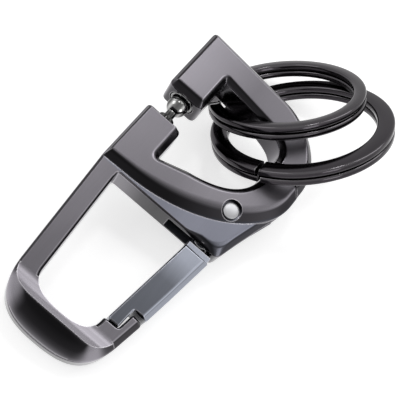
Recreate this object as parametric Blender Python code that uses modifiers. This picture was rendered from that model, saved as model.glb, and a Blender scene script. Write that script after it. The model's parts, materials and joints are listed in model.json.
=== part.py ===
"""Carabiner key holder: a cast carabiner with a spring gate, an opening key loop and two split rings.

The carabiner is laid out flat: x runs across it, y along it from the nose to the key loop, and z up through
its thickness, from the underside at zero. The whole is then leant back until it rests on its nose and
its rings.
"""

import math

import bmesh
import bpy
from mathutils import Matrix, Vector

MM = 0.001

# Clearances
FIT_GAP = 0.3 * MM
PIN_GAP = 0.2 * MM
OVERRUN = 1.0 * MM
MERGE_DISTANCE = 0.0001 * MM

# The carabiner as a whole
LOOP_WIDTH = 28.7 * MM
LOOP_HEIGHT = 30.8 * MM
HOOK_LENGTH = 28.2 * MM
THICKNESS = 7.0 * MM
RELIEF = 1.1 * MM
EDGE_BEVEL = 0.4 * MM
FOOT_BEVEL = 0.8 * MM

# Key loop: the band, its two ends and the catch between them
END_BLOCK_WIDTH = 7.05 * MM
END_BLOCK_HEIGHT = 12.1 * MM
CATCH_SPACE = 5.4 * MM
LOWER_BAND = 5.9 * MM
UPPER_BAND = 6.2 * MM
SIDE_BAND = 6.7 * MM
OUTER_BEVEL = 1.4 * MM
INNER_BEVEL = 0.85 * MM
END_BEVEL = 1.1 * MM
FRONT_BEVEL = 1.4 * MM
FRONT_BEVEL_SWELL = 0.9 * MM
LOWER_BEND_SHARES = ((0.16, 0.004), (0.60, 0.004), (1.0, 0.23), (1.0, 0.49))
UPPER_BEND_SHARES = ((1.0, 0.60), (1.0, 0.77), (0.83, 0.94), (0.58, 0.958))
LOWER_HOLE_SHARES = ((0.33, 0.08), (0.72, 0.14), (1.0, 0.27), (1.0, 0.53))
UPPER_HOLE_SHARES = ((1.0, 0.72), (1.0, 0.85), (0.86, 0.90), (0.68, 0.93))

# Arm, nose and gate seat
ARM_WIDTH = 3.75 * MM
NOSE_BEVEL = 2.8 * MM
RAMP_FILLET = 1.0 * MM
BEVEL_SLOPE = 1.1
TIP_BEVEL = 0.9 * MM
DECK_BEVEL = 1.0 * MM
CROSSBAR_FRONT = 0.4 * MM
LEFT_NOSE_SHARES = ((0.055, 0.71), (0.07, 0.92), (0.155, 1.0), (0.38, 1.0))
RIGHT_NOSE_SHARES = ((0.38, 1.0), (0.61, 1.003), (0.70, 0.945), (0.735, 0.78))
RIGHT_HOLE_SHARES = ((0.585, 0.715), (0.578, 0.80), (0.505, 0.826), (0.40, 0.826))
LEFT_HOLE_SHARES = ((0.40, 0.826), (0.30, 0.826), (0.195, 0.81), (0.182, 0.71))
NOSE_BEVEL_SHARES = (0.14, 0.12, 0.54, 0.78, 0.94, 1, 0.94, 0.74, 0.46, 0.31, 0.32)
NOSE_BULGE_SHARES = ((0.0625, 0.2), (0.25, 0.44), (0.5625, 0.71))
RAMP_START_SHARE = 0.773
RAMP_SLOPE = 0.53
TIP_CORNER_SHARES = (0.77, 0.578)
SEAT_SHARES = (0.60, 0.688)
DECK_SIDE_SHARES = ((0.833, -0.014), (0.864, 0.033), (0.909, 0.169), (0.948, 0.273), (0.985, 0.39))
DECK_CLOSE_SHARES = ((0.93, 0.44), (0.80, 0.36), (0.68, 0.25), (0.5, 0.14), (0.25, 0.1))

# Rivet, and the tongue of the loop hook that turns on it
RIVET_INSET = 7.3 * MM
RIVET_HEIGHT_SHARE = 0.2305
SEAM_RADIUS_SHARE = 0.39
TONGUE_THICKNESS = 2.0 * MM
TONGUE_HALF_WIDTH = 1.5 * MM
TONGUE_EYE_RADIUS = 2.5 * MM
TONGUE_ROOT = 0.6 * MM
TONGUE_INSET = 1.44 * MM
LOOP_OPENING = math.radians(40)
RIVET_RADIUS = 1.1 * MM
RIVET_HEAD_RADIUS = 1.4 * MM
RIVET_RIM = 0.35 * MM
RIVET_DOME = 0.45 * MM
RIVET_FOOT = 0.7 * MM
RIVET_RECESS = 1.4 * MM

# Ball catch
BALL_RADIUS = 1.55 * MM
BALL_REACH = 4.4 * MM
NECK_RADIUS = 0.75 * MM
COLLAR_RADIUS = 1.4 * MM
COLLAR_HEIGHT = 0.8 * MM
SHANK_RADIUS = 0.95 * MM
SHANK_LENGTH = 3.6 * MM
SLEEVE_BORE_RADIUS = 1.62 * MM
SLEEVE_WALL = 0.48 * MM
SLEEVE_LENGTH = 1.4 * MM

# Gate, its pin and its spring
GATE_END_GAP = 1.6 * MM
GATE_STEP = 1.3 * MM
GATE_BEVEL = 0.9 * MM
GATE_INNER_SHARE = 0.672
GATE_OUTER_SHARES = ((0.773, 0.865), (0.798, 0.64), (0.838, 0.0))
FINGER_WIDTH = 2.0 * MM
GATE_PIN_SHARE = 0.739
GATE_PIN_DEPTH = 1.3 * MM
GATE_PIN_RADIUS = 0.75 * MM
GATE_PIN_LENGTH = 5.0 * MM
KNUCKLE_RADIUS = 1.9 * MM
KNUCKLE_THICKNESS = 1.4 * MM
KNUCKLE_BASE = 1.3 * MM
GATE_HEEL = 3.2 * MM
SLOT_LEFT_SHARE = 0.509
SPRING_WIRE_RADIUS = 0.18 * MM
SPRING_RADIUS = 1.25 * MM
SPRING_PITCH = 0.8 * MM
SPRING_TURNS = 1.25
SPRING_LEG = 3.6 * MM

# Split rings: each is one flat wire wound into two turns
WIRE_THICKNESS = 1.05 * MM
TURN_GAP = 0.45 * MM
LARGE_RING_RADIUS = 16.0 * MM
LARGE_WIRE_WIDTH = 3.0 * MM
LARGE_RING_SHARE = 0.77
LARGE_RING_INSET = 1.8 * MM
LARGE_RING_LIFT = 3.8 * MM
LARGE_RING_HEADING = math.radians(67.6)
LARGE_RING_TILT = math.radians(44)
LARGE_RING_SPLIT = math.radians(205)
SMALL_RING_RADIUS = 14.0 * MM
SMALL_WIRE_WIDTH = 2.2 * MM
SMALL_RING_SHARE = 0.5784
SMALL_RING_INSET = -1.7 * MM
SMALL_RING_LIFT = 2.7 * MM
SMALL_RING_HEADING = math.radians(63.2)
SMALL_RING_TILT = math.radians(45.5)
SMALL_RING_SPLIT = math.radians(160)
RING_STEP = math.radians(24)
RING_SPLIT = math.radians(5)

# Fineness of the round shapes
BEND_STEPS = 10
ROUND_STEPS = 28
RING_STEPS = 36
SPRING_STEPS = 10
DOME_STEPS = 6
BALL_STEPS = 10
GENTLE_TURN = math.radians(20)
SHARP_TURN = math.radians(35)

# Places worked out from the sizes
DECK = THICKNESS - RELIEF
RIVET_X = LOOP_WIDTH - RIVET_INSET
RIVET_Y = LOOP_HEIGHT * RIVET_HEIGHT_SHARE
SEAM_RADIUS = LOOP_HEIGHT * SEAM_RADIUS_SHARE
TONGUE_HEADING = math.acos((RIVET_INSET - TONGUE_INSET) / (SEAM_RADIUS + FIT_GAP + TONGUE_ROOT))
GATE_PIN_X = LOOP_WIDTH * GATE_PIN_SHARE
GATE_PIN_Y = GATE_PIN_DEPTH - CROSSBAR_FRONT
SLOT_LEFT = LOOP_WIDTH * SLOT_LEFT_SHARE
RIVET = Vector((RIVET_X, RIVET_Y, 0))
GATE_PIN = Vector((GATE_PIN_X, GATE_PIN_Y, 0))
UP = Vector((0, 0, 1))


def clear_scene():
    for obj in list(bpy.data.objects):
        bpy.data.objects.remove(obj, do_unlink=True)


def collection(name):
    made = bpy.data.collections.new(name)
    bpy.context.scene.collection.children.link(made)
    return made


def material(name, colour, roughness, metallic):
    made = bpy.data.materials.new(name)
    made.use_nodes = True
    shader = made.node_tree.nodes["Principled BSDF"]
    shader.inputs["Base Color"].default_value = (*colour, 1)
    shader.inputs["Roughness"].default_value = roughness
    shader.inputs["Metallic"].default_value = metallic
    made.diffuse_color = (*colour, 1)
    return made


def scaled(shares, width, height, x=0, y=0):
    """Turns shares of a width and a height into places from the corner (x, y)."""
    return [Vector((x + width * share[0], y + height * share[1])) for share in shares]


def bend(controls, steps=BEND_STEPS):
    """A cubic bend through its first and last control, drawn towards the two between."""
    a, b, c, d = controls
    points = []
    for step in range(steps + 1):
        t = step / steps
        s = 1 - t
        points.append(a * s**3 + b * (3 * s * s * t) + c * (3 * s * t * t) + d * t**3)
    return points


def arc(centre, radius, start, end, steps=BEND_STEPS):
    """Points of an arc about a centre, from one angle to another."""
    points = []
    for step in range(steps + 1):
        angle = start + (end - start) * step / steps
        points.append(Vector((centre.x + radius * math.cos(angle), centre.y + radius * math.sin(angle))))
    return points


def polar(centre, radius, angle, side=0):
    """The point at a distance along a heading, moved to its left by side."""
    along = Vector((math.cos(angle), math.sin(angle)))
    left = Vector((-along.y, along.x))
    return centre.to_2d() + along * radius + left * side


def with_bevel(points, width, foot=FOOT_BEVEL):
    """Gives each edge that starts at these points its bevel widths, at the top and at the foot."""
    return [(point, width, foot) for point in points]


def inset(points, widths):
    """Moves each edge of an outline inwards by its own width. Corners are mitred, gentle turns averaged."""
    moved = []
    for i, (point, width) in enumerate(zip(points, widths)):
        before, width_before = points[i - 1], widths[i - 1]
        after = points[(i + 1) % len(points)]
        arriving = (point - before).normalized()
        leaving = (after - point).normalized()
        normal_in = Vector((-arriving.y, arriving.x))
        normal_out = Vector((-leaving.y, leaving.x))
        turn = arriving.cross(leaving)
        if abs(turn) < math.sin(GENTLE_TURN) and arriving.dot(leaving) > 0:
            moved.append(point + (normal_in + normal_out).normalized() * (width_before + width) / 2)
        else:
            start = point + normal_in * width_before
            reach = (point + normal_out * width - start).cross(leaving) / turn
            moved.append(start + arriving * reach)
    return moved


def spread(shares, place):
    """Reads evenly spaced shares at a place from 0 to 1, straight between two neighbours."""
    reach = place * (len(shares) - 1)
    first = min(int(reach), len(shares) - 2)
    return shares[first] + (shares[first + 1] - shares[first]) * (reach - first)


def plate(name, outline, bottom, top, drop, bulge=()):
    """A cast plate with mitred bevels round its top. drop gives a bevel's depth from its width.

    bulge lists rows between a bevel's foot and its crown, as shares of its width and of its depth. It is
    full where the bevel is widest, and fades where it is narrow.
    """
    walls, tops, feet = zip(*outline)
    crown = inset(walls, tops)
    sole = inset(walls, feet)
    widths = [max(width, tops[i - 1]) for i, width in enumerate(tops)]
    depths = [drop(width) for width in widths]
    heights = [max(foot, feet[i - 1]) for i, foot in enumerate(feet)]
    shape = bmesh.new()
    ground = [shape.verts.new((p.x, p.y, bottom)) for p in sole]
    rows = [ground, [shape.verts.new((p.x, p.y, bottom + height)) for p, height in zip(walls, heights)]]
    for across, up in ((0, 0), *bulge):
        row = []
        for p, q, depth, width in zip(walls, crown, depths, widths):
            risen = across + (up - across) * (width / max(widths)) ** 2
            row.append(shape.verts.new((*p.lerp(q, across), top - depth * (1 - risen))))
        rows.append(row)
    rows.append([shape.verts.new((p.x, p.y, top)) for p in crown])
    count = len(walls)
    for i in range(count):
        j = (i + 1) % count
        for lower, upper in zip(rows, rows[1:]):
            shape.faces.new((lower[i], lower[j], upper[j], upper[i]))
    shape.faces.new(list(reversed(ground)))
    shape.faces.new(rows[-1])
    bmesh.ops.remove_doubles(shape, verts=shape.verts, dist=MERGE_DISTANCE)
    bmesh.ops.recalc_face_normals(shape, faces=shape.faces)
    return finish_mesh(name, shape)


def slab(name, points, bottom, top):
    """A flat outline with straight walls, from one height to another."""
    flat = bpy.data.curves.new(name, "CURVE")
    flat.dimensions = "2D"
    flat.fill_mode = "BOTH"
    flat.extrude = (top - bottom) / 2
    spline = flat.splines.new("POLY")
    spline.points.add(len(points) - 1)
    for control, point in zip(spline.points, points):
        control.co = (point.x, point.y, 0, 1)
    spline.use_cyclic_u = True
    return curve_to_mesh(name, flat, Matrix.Translation((0, 0, (bottom + top) / 2)))


def curve_to_mesh(name, curve, place):
    """Makes a curve a welded mesh object, which a Boolean can read."""
    drawn = bpy.data.objects.new(name, curve)
    bpy.context.scene.collection.objects.link(drawn)
    bpy.context.view_layer.update()
    mesh = bpy.data.meshes.new_from_object(drawn.evaluated_get(bpy.context.evaluated_depsgraph_get()))
    bpy.data.objects.remove(drawn, do_unlink=True)
    bpy.data.curves.remove(curve)
    shape = bmesh.new()
    shape.from_mesh(mesh)
    bpy.data.meshes.remove(mesh)
    bmesh.ops.remove_doubles(shape, verts=shape.verts, dist=MERGE_DISTANCE)
    bmesh.ops.recalc_face_normals(shape, faces=shape.faces)
    shape.transform(place)
    return finish_mesh(name, shape)


def cylinder(name, centre, radius, bottom, top, steps=ROUND_STEPS):
    shape = bmesh.new()
    depth = top - bottom
    bmesh.ops.create_cone(shape, cap_ends=True, segments=steps, radius1=radius, radius2=radius, depth=depth)
    shape.transform(Matrix.Translation((centre.x, centre.y, (bottom + top) / 2)))
    return finish_mesh(name, shape)


def box(name, low, high):
    shape = bmesh.new()
    bmesh.ops.create_cube(shape, size=1)
    low, high = Vector(low), Vector(high)
    size = high - low
    shape.transform(Matrix.Translation((low + high) / 2) @ Matrix.Diagonal((*size, 1)))
    return finish_mesh(name, shape)


def finish_mesh(name, shape):
    mesh = bpy.data.meshes.new(name)
    shape.to_mesh(mesh)
    shape.free()
    made = bpy.data.objects.new(name, mesh)
    bpy.context.scene.collection.objects.link(made)
    return made


def lathe(name, profile, place):
    """Turns a profile of (radius, height) pairs, listed top to bottom down its outer side."""
    mesh = bpy.data.meshes.new(name)
    edges = [(i, i + 1) for i in range(len(profile) - 1)]
    mesh.from_pydata([(radius, 0, height) for radius, height in profile], edges, [])
    made = bpy.data.objects.new(name, mesh)
    bpy.context.scene.collection.objects.link(made)
    screw = made.modifiers.new("turn", "SCREW")
    screw.steps = ROUND_STEPS
    screw.render_steps = ROUND_STEPS
    screw.use_merge_vertices = True
    screw.merge_threshold = MERGE_DISTANCE
    screw.use_smooth_shade = True
    bpy.context.view_layer.update()
    turned = bpy.data.meshes.new_from_object(made.evaluated_get(bpy.context.evaluated_depsgraph_get()))
    made.modifiers.clear()
    made.data = turned
    turned.transform(place)
    bpy.data.meshes.remove(mesh)
    turned.name = name
    return made


def combine(target, tool, operation):
    """Keeps a live Boolean on the target. A union's tool is hidden with the cutters."""
    joined = target.modifiers.new(tool.name, "BOOLEAN")
    joined.operation = operation
    joined.solver = "EXACT"
    joined.object = tool


def hide_tools(tools, group):
    for tool in tools:
        for holder in list(tool.users_collection):
            holder.objects.unlink(tool)
        group.objects.link(tool)
        tool.hide_render = True
        tool.display_type = "WIRE"


def hole_corner():
    return END_BLOCK_WIDTH, LOWER_BAND


def hole_size():
    return LOOP_WIDTH - SIDE_BAND - END_BLOCK_WIDTH, LOOP_HEIGHT - UPPER_BAND - LOWER_BAND


def seam_crossing(x, radius):
    """The height at which the round seam about the rivet meets an upright wall."""
    return RIVET_Y + math.sqrt(radius**2 - (x - RIVET_X) ** 2)


def seam(radius):
    """The round seam between the frame and the loop hook, from the outer wall to the inner one."""
    inner_x = LOOP_WIDTH - SIDE_BAND
    walls = [Vector((x, seam_crossing(x, radius))) for x in (LOOP_WIDTH, inner_x)]
    ends = [(x, seam_crossing(x, radius)) for x in (LOOP_WIDTH - OUTER_BEVEL, inner_x + INNER_BEVEL)]
    angles = [math.atan2(y - RIVET_Y, x - RIVET_X) for x, y in ends]
    return [walls[0], *arc(RIVET, radius, *angles), walls[1]]


def lower_loop():
    """The raised lower half of the key loop, with its end block, as one bevelled plate."""
    front = bend(scaled(LOWER_BEND_SHARES, LOOP_WIDTH, LOOP_HEIGHT))
    outline = with_bevel([Vector((0, 0))], FRONT_BEVEL, 0)
    for i, point in enumerate(front):
        swell = math.sin(math.pi * i / (len(front) - 1))
        outline += with_bevel([point], FRONT_BEVEL + FRONT_BEVEL_SWELL * swell, 0)
    side = seam(SEAM_RADIUS)
    outline += with_bevel(side[:-1], 0, 0)
    outline += with_bevel(side[-1:], INNER_BEVEL)
    corner = hole_corner()
    outline += with_bevel(reversed(bend(scaled(LOWER_HOLE_SHARES, *hole_size(), *corner))), INNER_BEVEL)
    outline += with_bevel([Vector(corner)], END_BEVEL)
    block_end = [Vector((END_BLOCK_WIDTH, END_BLOCK_HEIGHT)), Vector((0, END_BLOCK_HEIGHT))]
    outline += with_bevel(block_end, EDGE_BEVEL)
    return plate("frame", outline, 0, THICKNESS, lambda width: min(width, RELIEF))


def nose_front():
    """The nose's outer wall from the arm to the gate's seat, with the width of its bevel."""
    left = bend(scaled(LEFT_NOSE_SHARES, LOOP_WIDTH, -HOOK_LENGTH))
    right = bend(scaled(RIGHT_NOSE_SHARES, LOOP_WIDTH, -HOOK_LENGTH))
    nose = left + right[1:]
    last = len(nose) - 1
    return [(point, NOSE_BEVEL * spread(NOSE_BEVEL_SHARES, i / last)) for i, point in enumerate(nose)]


def hole_end():
    """The round end of the carabiner's opening, from the gate's seat to the arm."""
    right = bend(scaled(RIGHT_HOLE_SHARES, LOOP_WIDTH, -HOOK_LENGTH))
    return right + bend(scaled(LEFT_HOLE_SHARES, LOOP_WIDTH, -HOOK_LENGTH))[1:]


def nose_ridge():
    """The thick nose: a bulging front up to a ridge, and behind it a ramp down to the arm's level."""
    front = nose_front()
    inside = hole_end()
    outline = []
    extra = RELIEF / BEVEL_SLOPE
    for point, width in front[:-1]:
        outline += with_bevel([point], width + extra)
    outline += with_bevel([front[-1][0]], 0, 0)
    outline += with_bevel(inside[:-1], EDGE_BEVEL)
    outline += with_bevel(inside[-1:], 0, 0)
    ridge = plate("nose_ridge", outline, 0, THICKNESS, lambda width: width * BEVEL_SLOPE, NOSE_BULGE_SHARES)
    start = -HOOK_LENGTH * RAMP_START_SHARE
    profile = [Vector((start + HOOK_LENGTH / 2, DECK)), Vector((start, DECK))]
    rise = 0
    for step in range(1, DOME_STEPS + 1):
        run = RAMP_FILLET * step / DOME_STEPS
        rise = RAMP_SLOPE * run * run / RAMP_FILLET / 2
        profile.append(Vector((start - run, DECK + rise)))
    climb = RELIEF + OVERRUN - rise
    profile.append(Vector((start - RAMP_FILLET - climb / RAMP_SLOPE, THICKNESS + OVERRUN)))
    profile.append(Vector((start + HOOK_LENGTH / 2, THICKNESS + OVERRUN)))
    ramp = slab("nose_ramp", profile, 0, LOOP_WIDTH)
    ramp.data.transform(Matrix(((0, 0, 1, 0), (1, 0, 0, 0), (0, 1, 0, 0), (0, 0, 0, 1))))
    combine(ridge, ramp, "DIFFERENCE")
    return [ridge, ramp]


def base_plate():
    """The deck, the arm, the nose and the seat of the gate, at the lower level."""
    front = nose_front()
    outline = with_bevel([Vector((0, 0))], EDGE_BEVEL)
    for point, width in front[:-1]:
        outline += with_bevel([point], width)
    tip = scaled([TIP_CORNER_SHARES], LOOP_WIDTH, -HOOK_LENGTH)[0]
    seat = scaled([SEAT_SHARES], LOOP_WIDTH, -HOOK_LENGTH)[0]
    step_x = seat.x + FINGER_WIDTH + FIT_GAP
    outline += with_bevel([front[-1][0]], TIP_BEVEL)
    outline += with_bevel([tip], EDGE_BEVEL)
    outline += with_bevel([Vector((step_x + EDGE_BEVEL, tip.y)), Vector((step_x, seat.y))], 0)
    outline += with_bevel([Vector((seat.x - EDGE_BEVEL, seat.y))], EDGE_BEVEL)
    outline += with_bevel(hole_end(), EDGE_BEVEL)
    outline += with_bevel([Vector((ARM_WIDTH, -CROSSBAR_FRONT))], 0)
    outline += with_bevel(scaled(DECK_SIDE_SHARES, LOOP_WIDTH, LOOP_HEIGHT), DECK_BEVEL)
    outline += with_bevel(scaled(DECK_CLOSE_SHARES, LOOP_WIDTH, LOOP_HEIGHT), 0, 0)
    outline += with_bevel([Vector((ARM_WIDTH / 2, LOWER_BAND / 2))], 0, 0)
    return plate("base_plate", outline, 0, DECK, lambda width: width * BEVEL_SLOPE)


def tongue_slot():
    """The slot between the frame's ears, as wide as the tongue sweeps while the loop opens."""
    half = TONGUE_HALF_WIDTH + FIT_GAP
    eye = TONGUE_EYE_RADIUS + FIT_GAP
    far = SEAM_RADIUS + TONGUE_EYE_RADIUS
    closed, opened = TONGUE_HEADING, TONGUE_HEADING - LOOP_OPENING
    points = [polar(RIVET, far, opened, -half)]
    points += arc(RIVET, far, opened, closed)
    points += [polar(RIVET, far, closed, half)]
    lean = math.asin(half / eye)
    points += arc(RIVET, eye, closed + lean, opened + 2 * math.pi - lean, 2 * BEND_STEPS)
    low = (THICKNESS - TONGUE_THICKNESS) / 2 - FIT_GAP
    return slab("tongue_slot", points, low, THICKNESS - low)


def rivet_cuts():
    """The rivet's hole through the frame's ears, with a recess for its head and one for its foot."""
    hole = cylinder("rivet_hole", RIVET, RIVET_RADIUS + PIN_GAP, -OVERRUN, THICKNESS + OVERRUN)
    head = RIVET_HEAD_RADIUS + FIT_GAP
    recess = cylinder("rivet_recess", RIVET, head, THICKNESS - RIVET_RECESS, THICKNESS + OVERRUN)
    foot = cylinder("rivet_foot_recess", RIVET, head, -OVERRUN, RIVET_FOOT + 2 * FIT_GAP)
    return [hole, recess, foot]


def gate_cavity():
    """The slot in the crossbar that takes the gate's knuckle and spring, with the hole for the pin."""
    right = GATE_PIN_X + KNUCKLE_RADIUS + FIT_GAP
    back = GATE_PIN_Y + KNUCKLE_RADIUS + FIT_GAP
    low = KNUCKLE_BASE - FIT_GAP
    high = KNUCKLE_BASE + GATE_HEEL + FIT_GAP
    cavity = box("gate_cavity", (SLOT_LEFT, -CROSSBAR_FRONT - OVERRUN, low), (right, back, high))
    bore = GATE_PIN_RADIUS + PIN_GAP
    pin_hole = cylinder("gate_pin_hole", GATE_PIN, bore, -OVERRUN, GATE_PIN_LENGTH + 2 * FIT_GAP)
    return [cavity, pin_hole]


def catch_axis(height):
    """Carries a turned piece from its own axis to the axis of the catch, which runs along y."""
    place = Matrix.Translation((END_BLOCK_WIDTH / 2, height, THICKNESS / 2))
    return place @ Matrix.Rotation(-math.pi / 2, 4, "X")


def across_catch(name, radius, start, end):
    made = cylinder(name, Vector((0, 0, 0)), radius, 0, end - start)
    made.data.transform(catch_axis(start))
    return made


def make_frame(look, tools):
    body = lower_loop()
    base = base_plate()
    shank_depth = SHANK_LENGTH + FIT_GAP
    ball_hole = across_catch(
        "ball_hole", SHANK_RADIUS + PIN_GAP, END_BLOCK_HEIGHT - shank_depth, END_BLOCK_HEIGHT + OVERRUN
    )
    cutters = [tongue_slot(), *rivet_cuts(), *gate_cavity(), ball_hole]
    ridge, ramp = nose_ridge()
    combine(body, base, "UNION")
    combine(body, ridge, "UNION")
    for cutter in cutters:
        combine(body, cutter, "DIFFERENCE")
    tools += [base, ridge, ramp, *cutters]
    body.data.materials.append(look)
    return body


def hook_end():
    return END_BLOCK_HEIGHT + CATCH_SPACE


def make_loop_hook(look, tools):
    """The upper half of the key loop: end block, top bar, corner and side bar, ending at the round seam."""
    side = seam(SEAM_RADIUS + FIT_GAP)
    outline = with_bevel(side[:1], OUTER_BEVEL)
    top = bend(scaled(UPPER_BEND_SHARES, LOOP_WIDTH, LOOP_HEIGHT))
    outline += with_bevel(top[:-1], OUTER_BEVEL)
    outline += with_bevel(top[-1:], INNER_BEVEL)
    outline += with_bevel([Vector((0, LOOP_HEIGHT))], EDGE_BEVEL)
    outline += with_bevel([Vector((0, hook_end()))], END_BEVEL)
    outline += with_bevel([Vector((END_BLOCK_WIDTH, hook_end()))], INNER_BEVEL)
    outline += with_bevel([Vector((END_BLOCK_WIDTH, LOOP_HEIGHT - UPPER_BAND))], INNER_BEVEL)
    hole = scaled(UPPER_HOLE_SHARES, *hole_size(), *hole_corner())
    hole[0] = side[-1]
    outline += with_bevel(reversed(bend(hole)[1:]), INNER_BEVEL)
    outline += with_bevel(reversed(side[1:]), 0, 0)
    body = plate("loop_hook", outline, 0, THICKNESS, lambda width: width)

    half = TONGUE_HALF_WIDTH
    eye = TONGUE_EYE_RADIUS
    lean = math.asin(half / eye)
    root = SEAM_RADIUS + FIT_GAP + TONGUE_ROOT
    points = [polar(RIVET, root, TONGUE_HEADING, -half), polar(RIVET, root, TONGUE_HEADING, half)]
    points += arc(RIVET, eye, TONGUE_HEADING + lean, TONGUE_HEADING + 2 * math.pi - lean, 2 * BEND_STEPS)
    low = (THICKNESS - TONGUE_THICKNESS) / 2
    tongue = slab("tongue", points, low, THICKNESS - low)
    combine(body, tongue, "UNION")
    eye_hole = cylinder("tongue_eye", RIVET, RIVET_RADIUS + PIN_GAP, 0, THICKNESS)
    sleeve_radius = SLEEVE_BORE_RADIUS + SLEEVE_WALL + PIN_GAP
    socket = across_catch("socket", sleeve_radius, hook_end() - OVERRUN, hook_end() + SLEEVE_LENGTH + FIT_GAP)
    for cutter in (eye_hole, socket):
        combine(body, cutter, "DIFFERENCE")
    tools += [tongue, eye_hole, socket]
    body.data.materials.append(look)
    return body


def make_rivet(look):
    seat = THICKNESS - RIVET_RECESS + FIT_GAP
    rim = seat + RIVET_RIM
    profile = []
    for step in range(DOME_STEPS + 1):
        angle = math.pi / 2 * step / DOME_STEPS
        profile.append((RIVET_HEAD_RADIUS * math.sin(angle), rim + RIVET_DOME * math.cos(angle)))
    foot = FIT_GAP + RIVET_FOOT
    profile += [(RIVET_HEAD_RADIUS, seat), (RIVET_RADIUS, seat), (RIVET_RADIUS, foot)]
    profile += [(RIVET_HEAD_RADIUS, foot), (RIVET_HEAD_RADIUS, FIT_GAP), (0, FIT_GAP)]
    made = lathe("loop_rivet", profile, Matrix.Translation(RIVET))
    made.data.materials.append(look)
    return made


def make_ball_stud(look):
    neck = math.pi - math.asin(NECK_RADIUS / BALL_RADIUS)
    profile = []
    for step in range(BALL_STEPS + 1):
        angle = neck * step / BALL_STEPS
        profile.append((BALL_RADIUS * math.sin(angle), BALL_REACH + BALL_RADIUS * math.cos(angle)))
    collar = FIT_GAP + COLLAR_HEIGHT
    profile += [(NECK_RADIUS, collar), (COLLAR_RADIUS, collar), (COLLAR_RADIUS, FIT_GAP)]
    profile += [(SHANK_RADIUS, FIT_GAP), (SHANK_RADIUS, -SHANK_LENGTH), (0, -SHANK_LENGTH)]
    made = lathe("ball_stud", profile, catch_axis(END_BLOCK_HEIGHT))
    made.data.materials.append(look)
    return made


def make_catch_sleeve(look):
    outer = SLEEVE_BORE_RADIUS + SLEEVE_WALL
    rim = (SLEEVE_BORE_RADIUS, 0)
    inner = (SLEEVE_BORE_RADIUS, SLEEVE_LENGTH)
    profile = [inner, (outer, SLEEVE_LENGTH), (outer, 0), rim, inner]
    made = lathe("catch_sleeve", profile, catch_axis(hook_end()))
    made.data.materials.append(look)
    return made


def make_gate(look, tools):
    """The gate bar with its lapped finger, its stepped heel and its knuckle round the pin."""
    top = -CROSSBAR_FRONT - GATE_END_GAP
    seat = scaled([SEAT_SHARES], LOOP_WIDTH, -HOOK_LENGTH)[0]
    tip = scaled([TIP_CORNER_SHARES], LOOP_WIDTH, -HOOK_LENGTH)[0]
    end = tip.y + 2 * FIT_GAP
    outer = scaled(GATE_OUTER_SHARES, LOOP_WIDTH, end - top, 0, top)
    finger_x = seat.x + FINGER_WIDTH
    finger_y = seat.y + FIT_GAP
    outline = with_bevel([Vector((LOOP_WIDTH * GATE_INNER_SHARE, top))], EDGE_BEVEL, EDGE_BEVEL)
    finger = [Vector((seat.x, end)), Vector((seat.x, finger_y + EDGE_BEVEL))]
    outline += with_bevel(finger, EDGE_BEVEL, EDGE_BEVEL)
    lap = [Vector((seat.x + EDGE_BEVEL, finger_y)), Vector((finger_x, finger_y))]
    lap += [Vector((finger_x + EDGE_BEVEL / 2, end))]
    outline += with_bevel(lap, EDGE_BEVEL / 2, EDGE_BEVEL / 2)
    outline += with_bevel([Vector((outer[0].x, end)), *outer[1:-1]], GATE_BEVEL, EDGE_BEVEL)
    outline += with_bevel([outer[-1]], EDGE_BEVEL / 2, EDGE_BEVEL / 2)
    bar = plate("gate", outline, EDGE_BEVEL, DECK, lambda width: width)
    bar_root = top - GATE_STEP
    left = GATE_PIN_X - KNUCKLE_RADIUS
    right = GATE_PIN_X + KNUCKLE_RADIUS
    knuckle_top = KNUCKLE_BASE + KNUCKLE_THICKNESS
    points = arc(GATE_PIN, KNUCKLE_RADIUS, 0, math.pi, 2 * BEND_STEPS)
    points += [Vector((left, bar_root)), Vector((right, bar_root))]
    knuckle = slab("knuckle", points, KNUCKLE_BASE, knuckle_top)
    heel_y = top + GATE_END_GAP / 2
    heel_low = (left + PIN_GAP, bar_root, KNUCKLE_BASE + PIN_GAP)
    heel_high = (right - PIN_GAP, heel_y, KNUCKLE_BASE + GATE_HEEL)
    heel = box("heel", heel_low, heel_high)
    hole = cylinder("knuckle_hole", GATE_PIN, GATE_PIN_RADIUS + PIN_GAP, 0, THICKNESS)
    combine(bar, knuckle, "UNION")
    combine(bar, heel, "UNION")
    combine(bar, hole, "DIFFERENCE")
    tools += [knuckle, heel, hole]
    bar.data.materials.append(look)
    return bar


def make_gate_pin(look):
    made = cylinder("gate_pin", GATE_PIN, GATE_PIN_RADIUS, FIT_GAP, FIT_GAP + GATE_PIN_LENGTH)
    made.data.materials.append(look)
    return made


def tube(name, points, radius, resolution):
    """One unbroken round wire along a route of points."""
    wire = bpy.data.curves.new(name, "CURVE")
    wire.dimensions = "3D"
    wire.bevel_depth = radius
    wire.bevel_resolution = resolution
    wire.use_fill_caps = True
    spline = wire.splines.new("POLY")
    spline.points.add(len(points) - 1)
    for control, point in zip(spline.points, points):
        control.co = (*point, 1)
    return curve_to_mesh(name, wire, Matrix.Identity(4))


def make_gate_spring(look):
    """A torsion spring round the gate's pin: one leg in the crossbar's slot, one leg towards the gate."""
    low = KNUCKLE_BASE + KNUCKLE_THICKNESS + FIT_GAP + SPRING_WIRE_RADIUS
    turns = SPRING_TURNS
    count = int(SPRING_STEPS * turns)
    route = [Vector((GATE_PIN_X + SPRING_RADIUS, GATE_PIN_Y - SPRING_RADIUS, low))]
    for step in range(count + 1):
        angle = 2 * math.pi * turns * step / count
        around = Vector((math.cos(angle), math.sin(angle), 0)) * SPRING_RADIUS
        route.append(GATE_PIN + around + UP * (low + SPRING_PITCH * turns * step / count))
    last = route[-1]
    route.append(last + Vector((-SPRING_LEG, 0, 0)))
    made = tube("gate_spring", route, SPRING_WIRE_RADIUS, 1)
    made.data.materials.append(look)
    return made


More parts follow.
